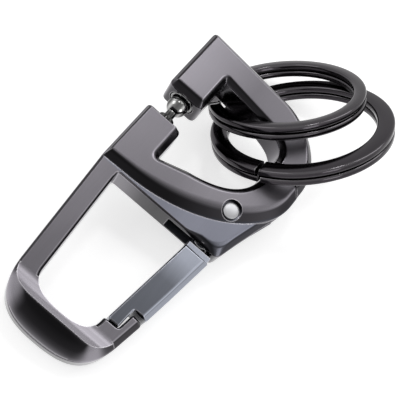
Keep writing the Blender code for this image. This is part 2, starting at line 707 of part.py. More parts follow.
def ring_route(radius, pitch):
    """The middle line of a split ring: two flat turns, joined by one short climb that parts its ends."""
    route = []
    sweep = 4 * math.pi - RING_STEP - 2 * RING_SPLIT
    count = 2 * RING_STEPS
    for step in range(count + 1):
        turned = sweep * step / count
        climb = (turned - sweep / 2) / RING_STEP + 0.5
        climb = min(1, max(0, climb))
        rise = climb * climb * (3 - 2 * climb) - 0.5
        angle = turned - sweep / 2
        route.append(Vector((radius * math.cos(angle), radius * math.sin(angle), pitch * rise)))
    return route


def least_turn_gap(route, width):
    """The least gap between points of the two turns, measured between the wire's facing sides."""
    least = None
    apart = len(route) // 4
    for i, first in enumerate(route):
        for second in route[i + apart :]:
            span = second - first
            gap = max(abs(span.z) - WIRE_THICKNESS, span.to_2d().length - width)
            least = gap if least is None else min(least, gap)
    return least


def ring_centre(share, inset, lift):
    """A ring's middle: a share of the way across the key loop, in from its far side and up from below."""
    return Vector((LOOP_WIDTH * share, LOOP_HEIGHT - inset, lift))


def make_split_ring(name, radius, width, centre, turns):
    """One flat wire carried round the ring's route, with its corners cut. The first turn places its ends."""
    split, heading, tilt = turns
    pitch = WIRE_THICKNESS + TURN_GAP
    route = ring_route(radius - width / 2, pitch)
    print(name, "least gap between its turns, mm:", round(least_turn_gap(route, width) / MM, 3))
    half_width, half_height, cut = width / 2, WIRE_THICKNESS / 2, WIRE_THICKNESS / 4
    corners = [(half_width, half_height - cut), (half_width - cut, half_height)]
    corners += [(-x, y) for x, y in reversed(corners)]
    corners += [(x, -y) for x, y in reversed(corners)]
    shape = bmesh.new()
    loops = []
    for point in route:
        outwards = Vector((point.x, point.y, 0)).normalized()
        loops.append([shape.verts.new(point + outwards * x + UP * y) for x, y in corners])
    for first, second in zip(loops, loops[1:]):
        for i in range(len(corners)):
            j = (i + 1) % len(corners)
            shape.faces.new((first[i], first[j], second[j], second[i]))
    shape.faces.new(loops[0])
    shape.faces.new(list(reversed(loops[-1])))
    bmesh.ops.recalc_face_normals(shape, faces=shape.faces)
    made = finish_mesh(name, shape)
    made.data.transform(Matrix.Rotation(split, 4, "Z"))
    turn = Matrix.Rotation(heading, 4, "Z") @ Matrix.Rotation(-tilt, 4, "X")
    made.matrix_world = Matrix.Translation(centre) @ turn
    return made


def move_origin(obj, origin):
    """Puts an object's origin on its joint axis and leaves its shape where it is."""
    obj.data.transform(Matrix.Translation(-origin))
    obj.location = origin


def shade(obj):
    obj.data.shade_smooth()
    obj.data.set_sharp_from_angle(angle=SHARP_TURN)


def body_of(solids):
    """The corners of the finished solids, and the middle of their volume."""
    bpy.context.view_layer.update()
    graph = bpy.context.evaluated_depsgraph_get()
    corners, volume, moment = [], 0, Vector((0, 0, 0))
    for solid in solids:
        mesh = solid.evaluated_get(graph).to_mesh()
        mesh.calc_loop_triangles()
        places = [solid.matrix_world @ vertex.co for vertex in mesh.vertices]
        corners += places
        for triangle in mesh.loop_triangles:
            a, b, c = (places[i] for i in triangle.vertices)
            share = a.dot(b.cross(c)) / 6
            volume += share
            moment += (a + b + c) * share / 4
    return corners, moment / volume


def resting_turn(corners, middle):
    """The turn that brings the hull's face under the middle level, so that the whole rests on it."""
    hull = bmesh.new()
    for corner in corners:
        hull.verts.new(corner)
    bmesh.ops.convex_hull(hull, input=hull.verts, use_existing_faces=False)
    best = -UP
    lowest = 0
    for face in hull.faces:
        normal = face.normal
        if normal.z >= lowest:
            continue
        inside = True
        for loop in face.loops:
            start, end = loop.vert.co, loop.link_loop_next.vert.co
            if (end - start).cross(middle - start).dot(normal) < 0:
                inside = False
        if inside:
            best, lowest = normal.copy(), normal.z
    hull.free()
    return best.rotation_difference(-UP).to_matrix().to_4x4()


def lay_down(solids, tools):
    """Leans everything, cutters too, until the solids rest at z = 0, centred over the origin."""
    corners, middle = body_of(solids)
    turn = resting_turn(corners, middle)
    turned = [turn @ corner for corner in corners]
    low = Vector([min(point[axis] for point in turned) for axis in range(3)])
    high = Vector([max(point[axis] for point in turned) for axis in range(3)])
    root = bpy.data.objects.new("lean", None)
    bpy.context.scene.collection.objects.link(root)
    root.matrix_world = Matrix.Translation(UP * (high.z - low.z) / 2 - (low + high) / 2) @ turn
    for piece in [*solids, *tools]:
        piece.parent = root


def build():
    clear_scene()
    parts = collection("Carabiner key holder")
    cutters = collection("Cutters")
    gunmetal = material("gunmetal", (0.13, 0.12, 0.14), 0.32, 1)
    steel_blue = material("gate_gunmetal", (0.15, 0.16, 0.19), 0.3, 1)
    black_nickel = material("black_nickel", (0.06, 0.055, 0.065), 0.18, 1)
    bright = material("satin_steel", (0.55, 0.56, 0.58), 0.3, 1)
    chrome = material("chrome", (0.7, 0.71, 0.72), 0.1, 1)
    tools = []
    frame = make_frame(gunmetal, tools)
    hook = make_loop_hook(gunmetal, tools)
    rivet = make_rivet(bright)
    ball = make_ball_stud(chrome)
    sleeve = make_catch_sleeve(chrome)
    gate = make_gate(steel_blue, tools)
    pin = make_gate_pin(bright)
    spring = make_gate_spring(bright)
    large_centre = ring_centre(LARGE_RING_SHARE, LARGE_RING_INSET, LARGE_RING_LIFT)
    large_turn = (LARGE_RING_SPLIT, LARGE_RING_HEADING, LARGE_RING_TILT)
    large = make_split_ring("split_ring_large", LARGE_RING_RADIUS, LARGE_WIRE_WIDTH, large_centre, large_turn)
    small_centre = ring_centre(SMALL_RING_SHARE, SMALL_RING_INSET, SMALL_RING_LIFT)
    small_turn = (SMALL_RING_SPLIT, SMALL_RING_HEADING, SMALL_RING_TILT)
    small = make_split_ring("split_ring_small", SMALL_RING_RADIUS, SMALL_WIRE_WIDTH, small_centre, small_turn)
    for ring in (large, small):
        ring.data.materials.append(black_nickel)
    solids = [frame, hook, rivet, ball, sleeve, gate, pin, spring, large, small]
    for solid in solids:
        for holder in list(solid.users_collection):
            holder.objects.unlink(solid)
        parts.objects.link(solid)
    for piece in (rivet, ball, sleeve, pin, spring, large, small):
        shade(piece)
    move_origin(hook, RIVET)
    move_origin(gate, GATE_PIN)
    hide_tools(tools, cutters)
    lay_down(solids, tools)


build()
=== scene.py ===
# %% [markdown]
# # A carabiner key holder, dressed
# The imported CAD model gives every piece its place. Here each piece is made again, finer, as a surface worked
# out with numpy, and gets a plated finish. All new shapes are first drawn flat, in millimetres, in the
# carabiner's own drawing frame: x across it, y along it towards the key loop, z up through its thickness.

# %% Load the frame
import json
import math

import bmesh
import bpy
import numpy as np
from mathutils import Matrix, Vector


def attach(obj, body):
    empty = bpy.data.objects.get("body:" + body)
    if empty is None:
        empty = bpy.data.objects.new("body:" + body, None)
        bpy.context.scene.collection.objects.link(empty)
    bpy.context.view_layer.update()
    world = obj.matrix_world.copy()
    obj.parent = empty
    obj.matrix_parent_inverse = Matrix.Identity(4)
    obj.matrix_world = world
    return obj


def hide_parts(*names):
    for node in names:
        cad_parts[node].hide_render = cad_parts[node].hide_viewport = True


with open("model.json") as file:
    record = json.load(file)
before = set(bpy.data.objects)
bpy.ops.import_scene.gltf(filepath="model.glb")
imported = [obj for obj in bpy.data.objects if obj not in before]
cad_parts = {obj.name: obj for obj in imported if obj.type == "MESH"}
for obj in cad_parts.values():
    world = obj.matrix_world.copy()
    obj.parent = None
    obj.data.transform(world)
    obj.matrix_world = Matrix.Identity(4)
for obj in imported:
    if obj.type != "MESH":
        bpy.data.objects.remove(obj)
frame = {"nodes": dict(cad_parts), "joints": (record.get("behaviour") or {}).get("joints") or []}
scene = bpy.context.scene
scene.view_settings.view_transform = "Standard"
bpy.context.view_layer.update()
nodes = frame["nodes"]

# %% [markdown]
# ## From the drawing frame to the scene
# The carabiner rests leant back on its nose and its rings, so drawing and scene differ by one turn and one
# shift. The four joints are known in both frames. The best rigid motion between two sets of points comes from
# the singular values of their covariance, which is safer than reading angles off the model.

# %% Drawing sizes
MM = 0.001
TINY = 1e-9
LOOP_WIDTH = 28.7
LOOP_HEIGHT = 30.8
HOOK_LENGTH = 28.2
THICKNESS = 7.0
MIDDLE = THICKNESS / 2
RELIEF = 1.1
DECK = THICKNESS - RELIEF
FIT_GAP = 0.3
PIN_GAP = 0.2
OVERRUN = 1.0
RIVET_INSET = 7.3
RIVET = np.array((LOOP_WIDTH - RIVET_INSET, LOOP_HEIGHT * 0.2305))
GATE_PIN = np.array((LOOP_WIDTH * 0.739, 0.9))
LARGE_RING = dict(
    radius=16.0, width=3.0, centre=(LOOP_WIDTH * 0.77, 29.0, 3.8), heading=67.6, tilt=44.0, split=205.0
)
SMALL_RING = dict(
    radius=14.0, width=2.2, centre=(LOOP_WIDTH * 0.5784, 32.5, 2.7), heading=63.2, tilt=45.5, split=160.0
)

# %% The rigid motion between the two frames
DRAWN = {
    "gate_hinge": (*GATE_PIN, MIDDLE),
    "loop_hinge": (*RIVET, MIDDLE),
    "large_ring_swing": LARGE_RING["centre"],
    "small_ring_swing": SMALL_RING["centre"],
}


def fit_frames():
    """Turn R and shift s with world = R drawn + s. With the centred point sets A and B, R = V D U^T from the
    singular values of A^T B. Two more points, down the hinges' axes, fix the direction of the thickness."""
    joints = {joint["name"]: joint for joint in frame["joints"]}
    drawn, world = np.array([*DRAWN.values()]) * MM, np.array([joints[name]["pos_m"] for name in DRAWN])
    drop = (0, 0, THICKNESS * MM)
    axes = np.array([joints[name]["axis"] for name in ("gate_hinge", "loop_hinge")]) * THICKNESS * MM
    drawn, world = np.concatenate((drawn, drawn[:2] - drop)), np.concatenate((world, world[:2] + axes))
    a, b = drawn - drawn.mean(0), world - world.mean(0)
    u, _, vt = np.linalg.svd(a.T @ b)
    turn = vt.T @ np.diag((1, 1, np.sign(np.linalg.det(vt.T @ u.T)))) @ u.T
    shift = world.mean(0) - turn @ drawn.mean(0)
    error = np.abs(drawn @ turn.T + shift - world).max()
    print("largest misfit between the two frames, mm:", round(error / MM, 4))
    return turn, shift


TURN, SHIFT = fit_frames()
ACROSS, ALONG, UP = TURN.T.tolist()


def to_world(points):
    """Points of the drawing, in mm, as points of the scene: R p + s."""
    return np.asarray(points, float) * MM @ TURN.T + SHIFT


def unit(vectors):
    """Vectors brought to length 1."""
    return vectors / np.maximum(np.linalg.norm(vectors, axis=-1, keepdims=True), TINY)


def circle(angle):
    """The points (cos a, sin a)."""
    return np.stack((np.cos(angle), np.sin(angle)), -1)


def put_in_scene(name, data):
    """A new object in the scene that holds a mesh, a camera or a lamp."""
    made = bpy.data.objects.new(name, data)
    scene.collection.objects.link(made)
    return made


# %% [markdown]
# ## The camera
# The photograph looks down on the flat side from below the nose, with little perspective. Straight edges that
# are parallel on the object meet at two vanishing points, which gave the lens and the way the camera faces.

# %% Camera
FRAME_PIXELS = 400
FOCAL_PIXELS = 850.0
SENSOR = 36.0
CORNER_PIXEL, END_PIXEL = (103, 152), (150, 102)
NORMAL_PIXEL = (-65.0, 475.0)
FACE_DISTANCE = 123.3


def camera_frame():
    """The face's normal points at the vanishing pixel of the thickness. Two pixels of the key loop's left
    edge, cast onto the face, give the direction of y and the corner that the drawing starts from."""
    middle = FRAME_PIXELS / 2
    pixels = (NORMAL_PIXEL, CORNER_PIXEL, END_PIXEL)
    rays = np.array([(x - middle, y - middle, FOCAL_PIXELS) for x, y in pixels])
    normal = unit(rays[0])
    corner, end = (ray * FACE_DISTANCE / (normal @ ray) for ray in rays[1:])
    along = unit(end - corner)
    axes = np.stack((np.cross(along, -normal), along, -normal))
    place = axes @ -corner + (0, 0, THICKNESS)
    return axes @ np.diag((1, -1, -1)), place


camera_turn, camera_place = camera_frame()
camera = put_in_scene("photo_camera", bpy.data.cameras.new("photo_camera"))
camera_turn = Matrix((TURN @ camera_turn).tolist()).to_4x4()
camera.matrix_world = Matrix.Translation(to_world(camera_place)) @ camera_turn
camera.data.sensor_width = SENSOR
camera.data.lens = SENSOR * FOCAL_PIXELS / FRAME_PIXELS
camera.data.clip_start = MM
scene.camera = camera
print("camera stands at", tuple(round(v, 4) for v in camera.location), "lens", camera.data.lens, "mm")

# %% [markdown]
# ## Tools for surfaces
# A cast plate is one outline carried up through a profile: round foot, wall, sloped bevel, flat top. Each row
# of the surface is the outline moved inwards by its own amount, so a grid of (place round the outline, place
# up the profile) holds the whole skin.

# %% Curves
BEND_POINTS = 40


def bend(controls, count=BEND_POINTS):
    """Cubic bend (1-t)^3 A + 3 t (1-t)^2 B + 3 t^2 (1-t) C + t^3 D, for t from 0 to 1."""
    t = np.linspace(0, 1, count)[:, None]
    a, b, c, d = np.asarray(controls, float)
    return a * (1 - t) ** 3 + b * 3 * t * (1 - t) ** 2 + c * 3 * t * t * (1 - t) + d * t**3


def shares(pairs, width, height, corner=(0, 0)):
    """Places as shares of a width and a height, measured from a corner."""
    return np.asarray(pairs, float) * (width, height) + corner


def arc(centre, radius, start, end, count=BEND_POINTS):
    """Points centre + radius (cos a, sin a), for a from start to end."""
    return centre + radius * circle(np.linspace(start, end, count))


# %% Outlines
GENTLE_TURN = math.radians(20)


def outline(*pieces):
    """Joins (points, bevel widths, foot widths, corner radius) into one closed outline. A width belongs to
    the edge after its point. Without a radius a corner stays sharp."""
    points = [np.atleast_2d(np.asarray(piece[0], float)) for piece in pieces]
    columns = [np.concatenate(points)]
    for column in (1, 2, 3):
        values = [piece[column] if len(piece) > column else 0 for piece in pieces]
        spread = [np.broadcast_to(value, len(part)) for value, part in zip(values, points)]
        columns.append(np.concatenate(spread).astype(float))
    return columns


def inset(points, widths):
    """Moves each edge inwards by its width. With unit inward normals m and n before and after a corner, and
    widths a and b, the corner moves by d with d.m = a and d.n = b. Gentle turns use the mean of both."""
    ahead = np.roll(points, -1, 0) - points
    after = unit(np.stack((-ahead[:, 1], ahead[:, 0]), 1))
    before = np.roll(after, 1, 0)
    a, b = np.roll(widths, 1)[:, None], widths[:, None]
    cosine = (before * after).sum(1)[:, None]
    mitre = (before * (a - b * cosine) + after * (b - a * cosine)) / np.maximum(1 - cosine**2, TINY)
    mean = unit(before + after) * (a + b) / 2
    return points + np.where(cosine > math.cos(GENTLE_TURN), mean, mitre)


# %% Round corners
CORNER_POINTS = 9
LEAST_RADIUS = 0.12
CORNER_SHARE, GROWING_SHARE = 0.45, 0.9


def round_corners(points, radii, widths, marked):
    """Rounds the marked corners with bends P(1-t)^2 + 2Ct(1-t) + Qt^2. P and Q lie r tan(half the turn) from
    the corner C. Moved inwards by a width, an outer corner keeps radius r - width, an inner one gets
    r + width. A radius given as negative grows inwards, by twice the width."""
    back, ahead = np.roll(points, 1, 0) - points, np.roll(points, -1, 0) - points
    near = np.minimum(np.linalg.norm(back, axis=1), np.linalg.norm(ahead, axis=1))
    back, ahead = unit(back), unit(ahead)
    outer = back[:, 1] * ahead[:, 0] - back[:, 0] * ahead[:, 1] > 0
    radius = np.maximum(radii + np.where(outer, -widths, widths), LEAST_RADIUS)
    radius = np.where(radii < 0, 2 * widths - radii, radius)
    half_turn = np.arccos(np.clip(-(back * ahead).sum(1), -1, 1)) / 2
    limit = near * np.where(radii < 0, GROWING_SHARE, CORNER_SHARE)
    reach = np.where(marked, np.minimum(radius * np.tan(half_turn), limit), 0)[:, None]
    which = np.repeat(np.arange(len(points)), np.where(marked, CORNER_POINTS, 1))
    first = np.flatnonzero(np.diff(which, prepend=-1))
    t = (np.arange(len(which)) - first[which])[:, None] / (CORNER_POINTS - 1)
    start, end = points + back * reach, points + ahead * reach
    return start[which] * (1 - t) ** 2 + points[which] * 2 * t * (1 - t) + end[which] * t * t, which


def rounded(corners, radius=0.1, count=5):
    """Rounds the inner corners of an open profile with quadratic bends of the given reach."""
    corners = [np.asarray(corner, float) for corner in corners]
    points = [corners[0]]
    t = np.linspace(0, 1, count)[:, None]
    for before, corner, after in zip(corners, corners[1:], corners[2:]):
        start, end = before - corner, after - corner
        start = start * min(CORNER_SHARE, radius / np.linalg.norm(start))
        end = end * min(CORNER_SHARE, radius / np.linalg.norm(end))
        points.extend(corner + start * (1 - t) ** 2 + end * t * t)
    return [*points, corners[-1]]


# %% Meshes
WELD = 0.002 * MM


def weld(mesh, turn_out=False):
    """Merges points that coincide, turns the faces outwards if asked, and counts the edges left open."""
    shape = bmesh.new()
    shape.from_mesh(mesh)
    bmesh.ops.remove_doubles(shape, verts=shape.verts, dist=WELD)
    if turn_out:
        bmesh.ops.recalc_face_normals(shape, faces=shape.faces)
    open_edges = sum(not edge.is_manifold for edge in shape.edges)
    shape.to_mesh(mesh)
    shape.free()
    return open_edges


def mesh_object(name, points, faces, smooth=True):
    """A mesh at the scene's origin, from points of the drawing frame, in mm, and faces."""
    mesh = bpy.data.meshes.new(name)
    mesh.from_pydata(to_world(points).tolist(), [], faces)
    weld(mesh, turn_out=True)
    if smooth:
        mesh.shade_smooth()
    return put_in_scene(name, mesh)


def finished(piece, sharp):
    """Keeps the edges sharp that turn by more than an angle, and prints what was made."""
    piece.data.set_sharp_from_angle(angle=sharp)
    print(piece.name, "faces:", len(piece.data.polygons))
    return piece


def skin(rows, closed_rows=False):
    """Quads of a grid of rows, each closed round. The first and last row get a cap, or meet if closed."""
    count, across = len(rows), len(rows[0])
    index = np.arange(count * across).reshape(count, across)
    if closed_rows:
        index = np.concatenate((index, index[:1]))
    low, high = index[:-1], index[1:]
    quads = np.stack((low, np.roll(low, -1, 1), np.roll(high, -1, 1), high), -1).reshape(-1, 4).tolist()
    if not closed_rows:
        quads += [index[0][::-1].tolist(), index[-1].tolist()]
    return np.concatenate(rows), quads


# %% Plates
EDGE_ROUND, CROWN_ROUND = 0.2, 0.75
FOOT_ROWS = 6
ROUND_ROWS = 7


def plate(name, path, bottom, top, drop, bulge=(), crown=CROWN_ROUND):
    """A cast plate, row by row: a quarter circle at the foot, a rounded shoulder, the bevel, a rounded crown.
    drop gives a bevel's depth from its width. bulge lists rows of a swelling bevel: (share across, up)."""
    walls, tops, feet, radii = path
    wide = np.maximum(tops, np.roll(tops, 1))
    depth, foot = drop(wide), np.maximum(feet, np.roll(feet, 1))
    slant = np.maximum(np.hypot(wide, depth), TINY)
    run, rise = np.minimum(wide / slant, 1), depth / slant
    soft, soft_crown = (np.minimum(limit, tops * CORNER_SHARE) for limit in (EDGE_ROUND, crown))
    soft_high, crown_high = (np.maximum(reach, np.roll(reach, 1)) for reach in (soft, soft_crown))
    rows = []

    def row(widths, heights):
        mean = (widths + np.roll(widths, 1)) / 2
        points, which = round_corners(inset(walls, widths), radii, mean, radii != 0)
        rows.append(np.column_stack((points, np.broadcast_to(heights, len(walls))[which])))

    for angle in np.linspace(0, math.pi / 2, FOOT_ROWS):
        row(feet * (1 - math.sin(angle)), bottom + foot * (1 - math.cos(angle)))
    for t in np.linspace(0, 1, ROUND_ROWS):
        row(t * t * soft * run, top - depth + soft_high * (t * t * rise - (1 - t) ** 2))
    fullness = (wide / max(wide.max(), TINY)) ** 2
    for across, up in bulge:
        row(tops * across, top - depth * (1 - (across + (up - across) * fullness)))
    for t in np.linspace(0, 1, ROUND_ROWS):
        back = (1 - t) ** 2
        inwards = np.maximum(tops - back * soft_crown * run + t * t * soft_crown, 0)
        row(inwards, top - back * crown_high * rise)
    return mesh_object(name, *skin(rows))


# %% Straight and turned solids
TURN_POINTS = 96
ROUND_POINTS = 64


def slab(name, points, bottom, top):
    """A flat outline with straight walls."""
    points = np.asarray(points, float)
    rows = [np.column_stack((points, np.full(len(points), height))) for height in (bottom, top)]
    return mesh_object(name, *skin(rows), smooth=False)


def block(name, across, along, bottom, top):
    """A box over two ranges, across and along."""
    (left, right), (front, back) = across, along
    return slab(name, ((left, front), (right, front), (right, back), (left, back)), bottom, top)


def cylinder(name, centre, radius, bottom, top):
    """A slab over a full circle."""
    return slab(name, arc(centre, radius, 0, math.tau, ROUND_POINTS + 1)[:-1], bottom, top)


def lathe(name, profile, place, closed=False):
    """A profile of (radius, height) turned about z: (r cos a, r sin a, h) for a all the way round. place
    carries it from its own axis into the drawing frame. A closed profile makes a ring without caps."""
    profile = np.asarray(profile, float)
    angle = np.linspace(0, math.tau, TURN_POINTS, endpoint=False)
    radius, height = profile[:, 0, None], profile[:, 1, None]
    points = np.stack((radius * np.cos(angle), radius * np.sin(angle), height + 0 * angle), -1)
    return mesh_object(name, *skin(list(place(points)), closed))


# %% Joining and cutting
SHARP = math.radians(32)


def carve(name, body, joined, cut):
    """Adds and takes away solids, keeps the result as one mesh, and lets flat faces keep flat shading."""
    for operation, tools in (("UNION", joined), ("DIFFERENCE", cut)):
        for tool in tools:
            step = body.modifiers.new(tool.name, "BOOLEAN")
            step.operation, step.solver, step.object = operation, "MANIFOLD", tool
    bpy.context.view_layer.update()
    mesh = bpy.data.meshes.new_from_object(body.evaluated_get(bpy.context.evaluated_depsgraph_get()))
    for tool in (body, *joined, *cut):
        bpy.data.objects.remove(tool, do_unlink=True)
    open_edges = weld(mesh)
    mesh.name = name
    mesh.materials.clear()
    mesh.shade_smooth()
    mesh.set_sharp_from_angle(angle=SHARP)
    made = put_in_scene(name, mesh)
    weigh = made.modifiers.new("flat faces first", "WEIGHTED_NORMAL")
    weigh.keep_sharp = True
    print(name, "faces:", len(mesh.polygons), "edges left open:", open_edges)
    return made


# %% [markdown]
# ## The frame
# The frame is one casting: a flat hook, and on it, a step higher, the lower half of the key loop. The nose
# swells to a ridge as thick as the key loop, with a ramp behind it. Three plates are joined, then the slots
# and holes for the hinge tongue, the rivet, the gate, its pin and the ball are cut. Most outlines are shares
# of the loop's or the hook's size, as read off the photograph.

# %% Sizes of the casting
FOOT = 0.8
EDGE = 0.4
SOFT_EDGE = 0.25
FRONT_BEVEL, FRONT_SWELL = 1.4, 0.9
INNER_BEVEL, END_BEVEL, OUTER_BEVEL = 0.85, 1.1, 1.4
LOWER_BAND, UPPER_BAND, SIDE_BAND = 5.9, 6.2, 6.7
BLOCK_WIDTH, BLOCK_HEIGHT, CATCH_SPACE = 7.05, 12.1, 5.4
SEAM_RADIUS = LOOP_HEIGHT * 0.39
SEAM_POINTS = 24
HOLE_CORNER = np.array((BLOCK_WIDTH, LOWER_BAND))
HOLE_SIZE = np.array((LOOP_WIDTH - SIDE_BAND - BLOCK_WIDTH, LOOP_HEIGHT - UPPER_BAND - LOWER_BAND))
LOOP_FRONT = ((0.16, 0.004), (0.60, 0.004), (1.0, 0.23), (1.0, 0.49))
HOLE_FRONT = ((0.33, 0.08), (0.72, 0.14), (1.0, 0.27), (1.0, 0.53))


# %% The lower half of the key loop
def seam(radius):
    """The round seam about the rivet at (a, b), from the outer wall in: y = b + sqrt(r^2 - (x - a)^2)."""
    inner_x = LOOP_WIDTH - SIDE_BAND

    def crossing(x):
        return RIVET[1] + math.sqrt(radius**2 - (x - RIVET[0]) ** 2)

    ends = [(x, crossing(x)) for x in (LOOP_WIDTH - OUTER_BEVEL, inner_x + INNER_BEVEL)]
    angles = [math.atan2(y - RIVET[1], x - RIVET[0]) for x, y in ends]
    walls = [(x, crossing(x)) for x in (LOOP_WIDTH, inner_x)]
    return np.concatenate(([walls[0]], arc(RIVET, radius, *angles, SEAM_POINTS), [walls[1]]))


def lower_loop():
    """The raised half loop with its end block. Its front bevel swells by the sine of the way along it."""
    front = bend(shares(LOOP_FRONT, LOOP_WIDTH, LOOP_HEIGHT))
    swell = FRONT_BEVEL + FRONT_SWELL * np.sin(np.linspace(0, math.pi, len(front)))
    side = seam(SEAM_RADIUS)
    hole = bend(shares(HOLE_FRONT, *HOLE_SIZE, HOLE_CORNER))[::-1]
    path = outline(
        ((0, 0), FRONT_BEVEL, 0), (front, swell, 0), (side[:-1], 0, 0), (side[-1], INNER_BEVEL, FOOT),
        (hole, INNER_BEVEL, FOOT), (HOLE_CORNER, END_BEVEL, FOOT, 0.3),
        ((BLOCK_WIDTH, BLOCK_HEIGHT), EDGE, FOOT, 1.1), ((0, BLOCK_HEIGHT), END_BEVEL / 2, FOOT, 0.8),
    )
    return plate("frame", path, 0, THICKNESS, lambda width: np.minimum(width, RELIEF))


# %% The outlines of the hook
HOOK_LEFT = ((0.055, 0.71), (0.07, 0.92), (0.155, 1.0), (0.38, 1.0))
HOOK_RIGHT = ((0.38, 1.0), (0.61, 1.003), (0.70, 0.945), (0.735, 0.78))
INSIDE_RIGHT = ((0.585, 0.715), (0.578, 0.80), (0.505, 0.826), (0.40, 0.826))
INSIDE_LEFT = ((0.40, 0.826), (0.30, 0.826), (0.195, 0.81), (0.182, 0.71))
NOSE_BEVEL = 2.8
NOSE_SHARES = (0.14, 0.12, 0.54, 0.78, 0.94, 1, 0.94, 0.74, 0.46, 0.31, 0.32)
SHARE_MARGIN, SHARE_SAMPLES, SHARE_WINDOW = 0.2, 141, 15


def hook_curve(first, second):
    """Two bends in a row, from controls that are shares of the loop's width and the hook's length."""
    first, second = (bend(shares(controls, LOOP_WIDTH, -HOOK_LENGTH)) for controls in (first, second))
    return np.concatenate((first, second[1:]))


def nose_front():
    """The nose's outer wall and the width of its bevel, which swells to the middle and thins to both ends:
    the listed shares, smoothed by a running mean whose weights fall off as a cosine."""
    points = hook_curve(HOOK_LEFT, HOOK_RIGHT)
    place = np.linspace(-SHARE_MARGIN, 1 + SHARE_MARGIN, SHARE_SAMPLES)
    known = np.interp(place, np.linspace(0, 1, len(NOSE_SHARES)), NOSE_SHARES)
    window = np.hanning(SHARE_WINDOW)
    smooth = np.convolve(known, window / window.sum(), "same")
    return points, NOSE_BEVEL * np.interp(np.linspace(0, 1, len(points)), place, smooth)


NOSE_WALL, NOSE_WIDTHS = nose_front()
INSIDE = hook_curve(INSIDE_RIGHT, INSIDE_LEFT)
print("nose bevel, mm:", round(NOSE_WIDTHS.min(), 2), "to", round(NOSE_WIDTHS.max(), 2))

# %% The nose
BULGE = ((0.03, 0.13), (0.08, 0.27), (0.15, 0.4), (0.25, 0.53), (0.4, 0.67), (0.56, 0.785), (0.78, 0.91))
BEVEL_SLOPE = 1.1
RIDGE_CROWN = 0.3
RAMP_START = -HOOK_LENGTH * 0.752
RAMP_FILLET, RAMP_SLOPE = 2.4, 0.53
RAMP_ROWS = 28


def nose_ridge():
    """The nose at full thickness, and the prism that cuts its ramp: level, then a hollow round of fixed
    curvature z = slope s^2 / (2 fillet), then a straight climb to the ridge."""
    path = outline(
        (NOSE_WALL[:-1], NOSE_WIDTHS[:-1] + RELIEF / BEVEL_SLOPE, FOOT), (NOSE_WALL[-1], 0, 0),
        (INSIDE[:-1], EDGE, FOOT), (INSIDE[-1], 0, 0),
    )
    ridge = plate("nose_ridge", path, 0, THICKNESS, lambda width: width * BEVEL_SLOPE, BULGE, RIDGE_CROWN)
    run = np.linspace(0, RAMP_FILLET, RAMP_ROWS)
    rise = RAMP_SLOPE * run**2 / RAMP_FILLET / 2
    climb = RELIEF + OVERRUN - rise[-1]
    far = RAMP_START + HOOK_LENGTH / 2
    over = THICKNESS + OVERRUN
    profile = [(far, -OVERRUN), (RAMP_START - run[1], -OVERRUN), *zip(RAMP_START - run[1:], DECK + rise[1:])]
    profile = np.array([*profile, (RAMP_START - RAMP_FILLET - climb / RAMP_SLOPE, over), (far, over)])
    rows = [np.column_stack((np.full(len(profile), x), profile)) for x in (0, LOOP_WIDTH)]
    return ridge, mesh_object("nose_ramp", *skin(rows))


# %% The base plate
ARM_WIDTH = 3.75
ARM_FILLET, FILLET_POINTS = 1.1, 14
CROSSBAR_FRONT = 0.4
TIP = shares((0.77, 0.578), LOOP_WIDTH, -HOOK_LENGTH)
TIP_BEVEL = 0.9
SEAT = shares((0.60, 0.688), LOOP_WIDTH, -HOOK_LENGTH)
FINGER = 2.0
DECK_BEVEL = 1.0
DECK_FRONT = [(x, -CROSSBAR_FRONT) for x in (17.5, 18.2, 18.9, 19.6, 20.3)]
DECK_CORNER = (24.55, -CROSSBAR_FRONT)
DECK_SIDE, SIDE_POINTS = ((25.6, 3.6), (26.1, 5.3), (27.1, 8.8), (28.27, 12.0)), 20
UNDER_LOOP = ((0.93, 0.44), (0.80, 0.36), (0.68, 0.25), (0.5, 0.14), (0.25, 0.1))


def base_plate():
    """The deck, the arm, the nose and the gate's seat, one step below the key loop."""
    step_x = SEAT[0] + FINGER + FIT_GAP
    corner = np.array((ARM_WIDTH, -CROSSBAR_FRONT))
    lean = (corner[0] - INSIDE[-1, 0]) / (corner[1] - INSIDE[-1, 1])
    start = corner - (lean * ARM_FILLET, ARM_FILLET)
    fillet = bend((start, corner, corner, corner + (ARM_FILLET, 0)), FILLET_POINTS)
    path = outline(
        ((0, 0), EDGE, FOOT), (NOSE_WALL[:-1], NOSE_WIDTHS[:-1], FOOT), (NOSE_WALL[-1], TIP_BEVEL, FOOT),
        (TIP, EDGE, FOOT, 0.8), ((step_x + EDGE, TIP[1]), SOFT_EDGE, FOOT, 0.5),
        ((step_x, SEAT[1]), SOFT_EDGE, FOOT, 0.5), ((SEAT[0] - EDGE, SEAT[1]), EDGE, FOOT, 0.7),
        (INSIDE, EDGE, FOOT), (fillet, SOFT_EDGE, FOOT),
        (DECK_FRONT, np.linspace(SOFT_EDGE, DECK_BEVEL, len(DECK_FRONT)), FOOT),
        (DECK_CORNER, DECK_BEVEL, FOOT, -1.6), (bend(DECK_SIDE, SIDE_POINTS), DECK_BEVEL, FOOT),
        (shares(UNDER_LOOP, LOOP_WIDTH, LOOP_HEIGHT), 0, 0), ((ARM_WIDTH / 2, LOWER_BAND / 2), 0, 0),
    )
    return plate("base_plate", path, 0, DECK, lambda width: width * BEVEL_SLOPE)


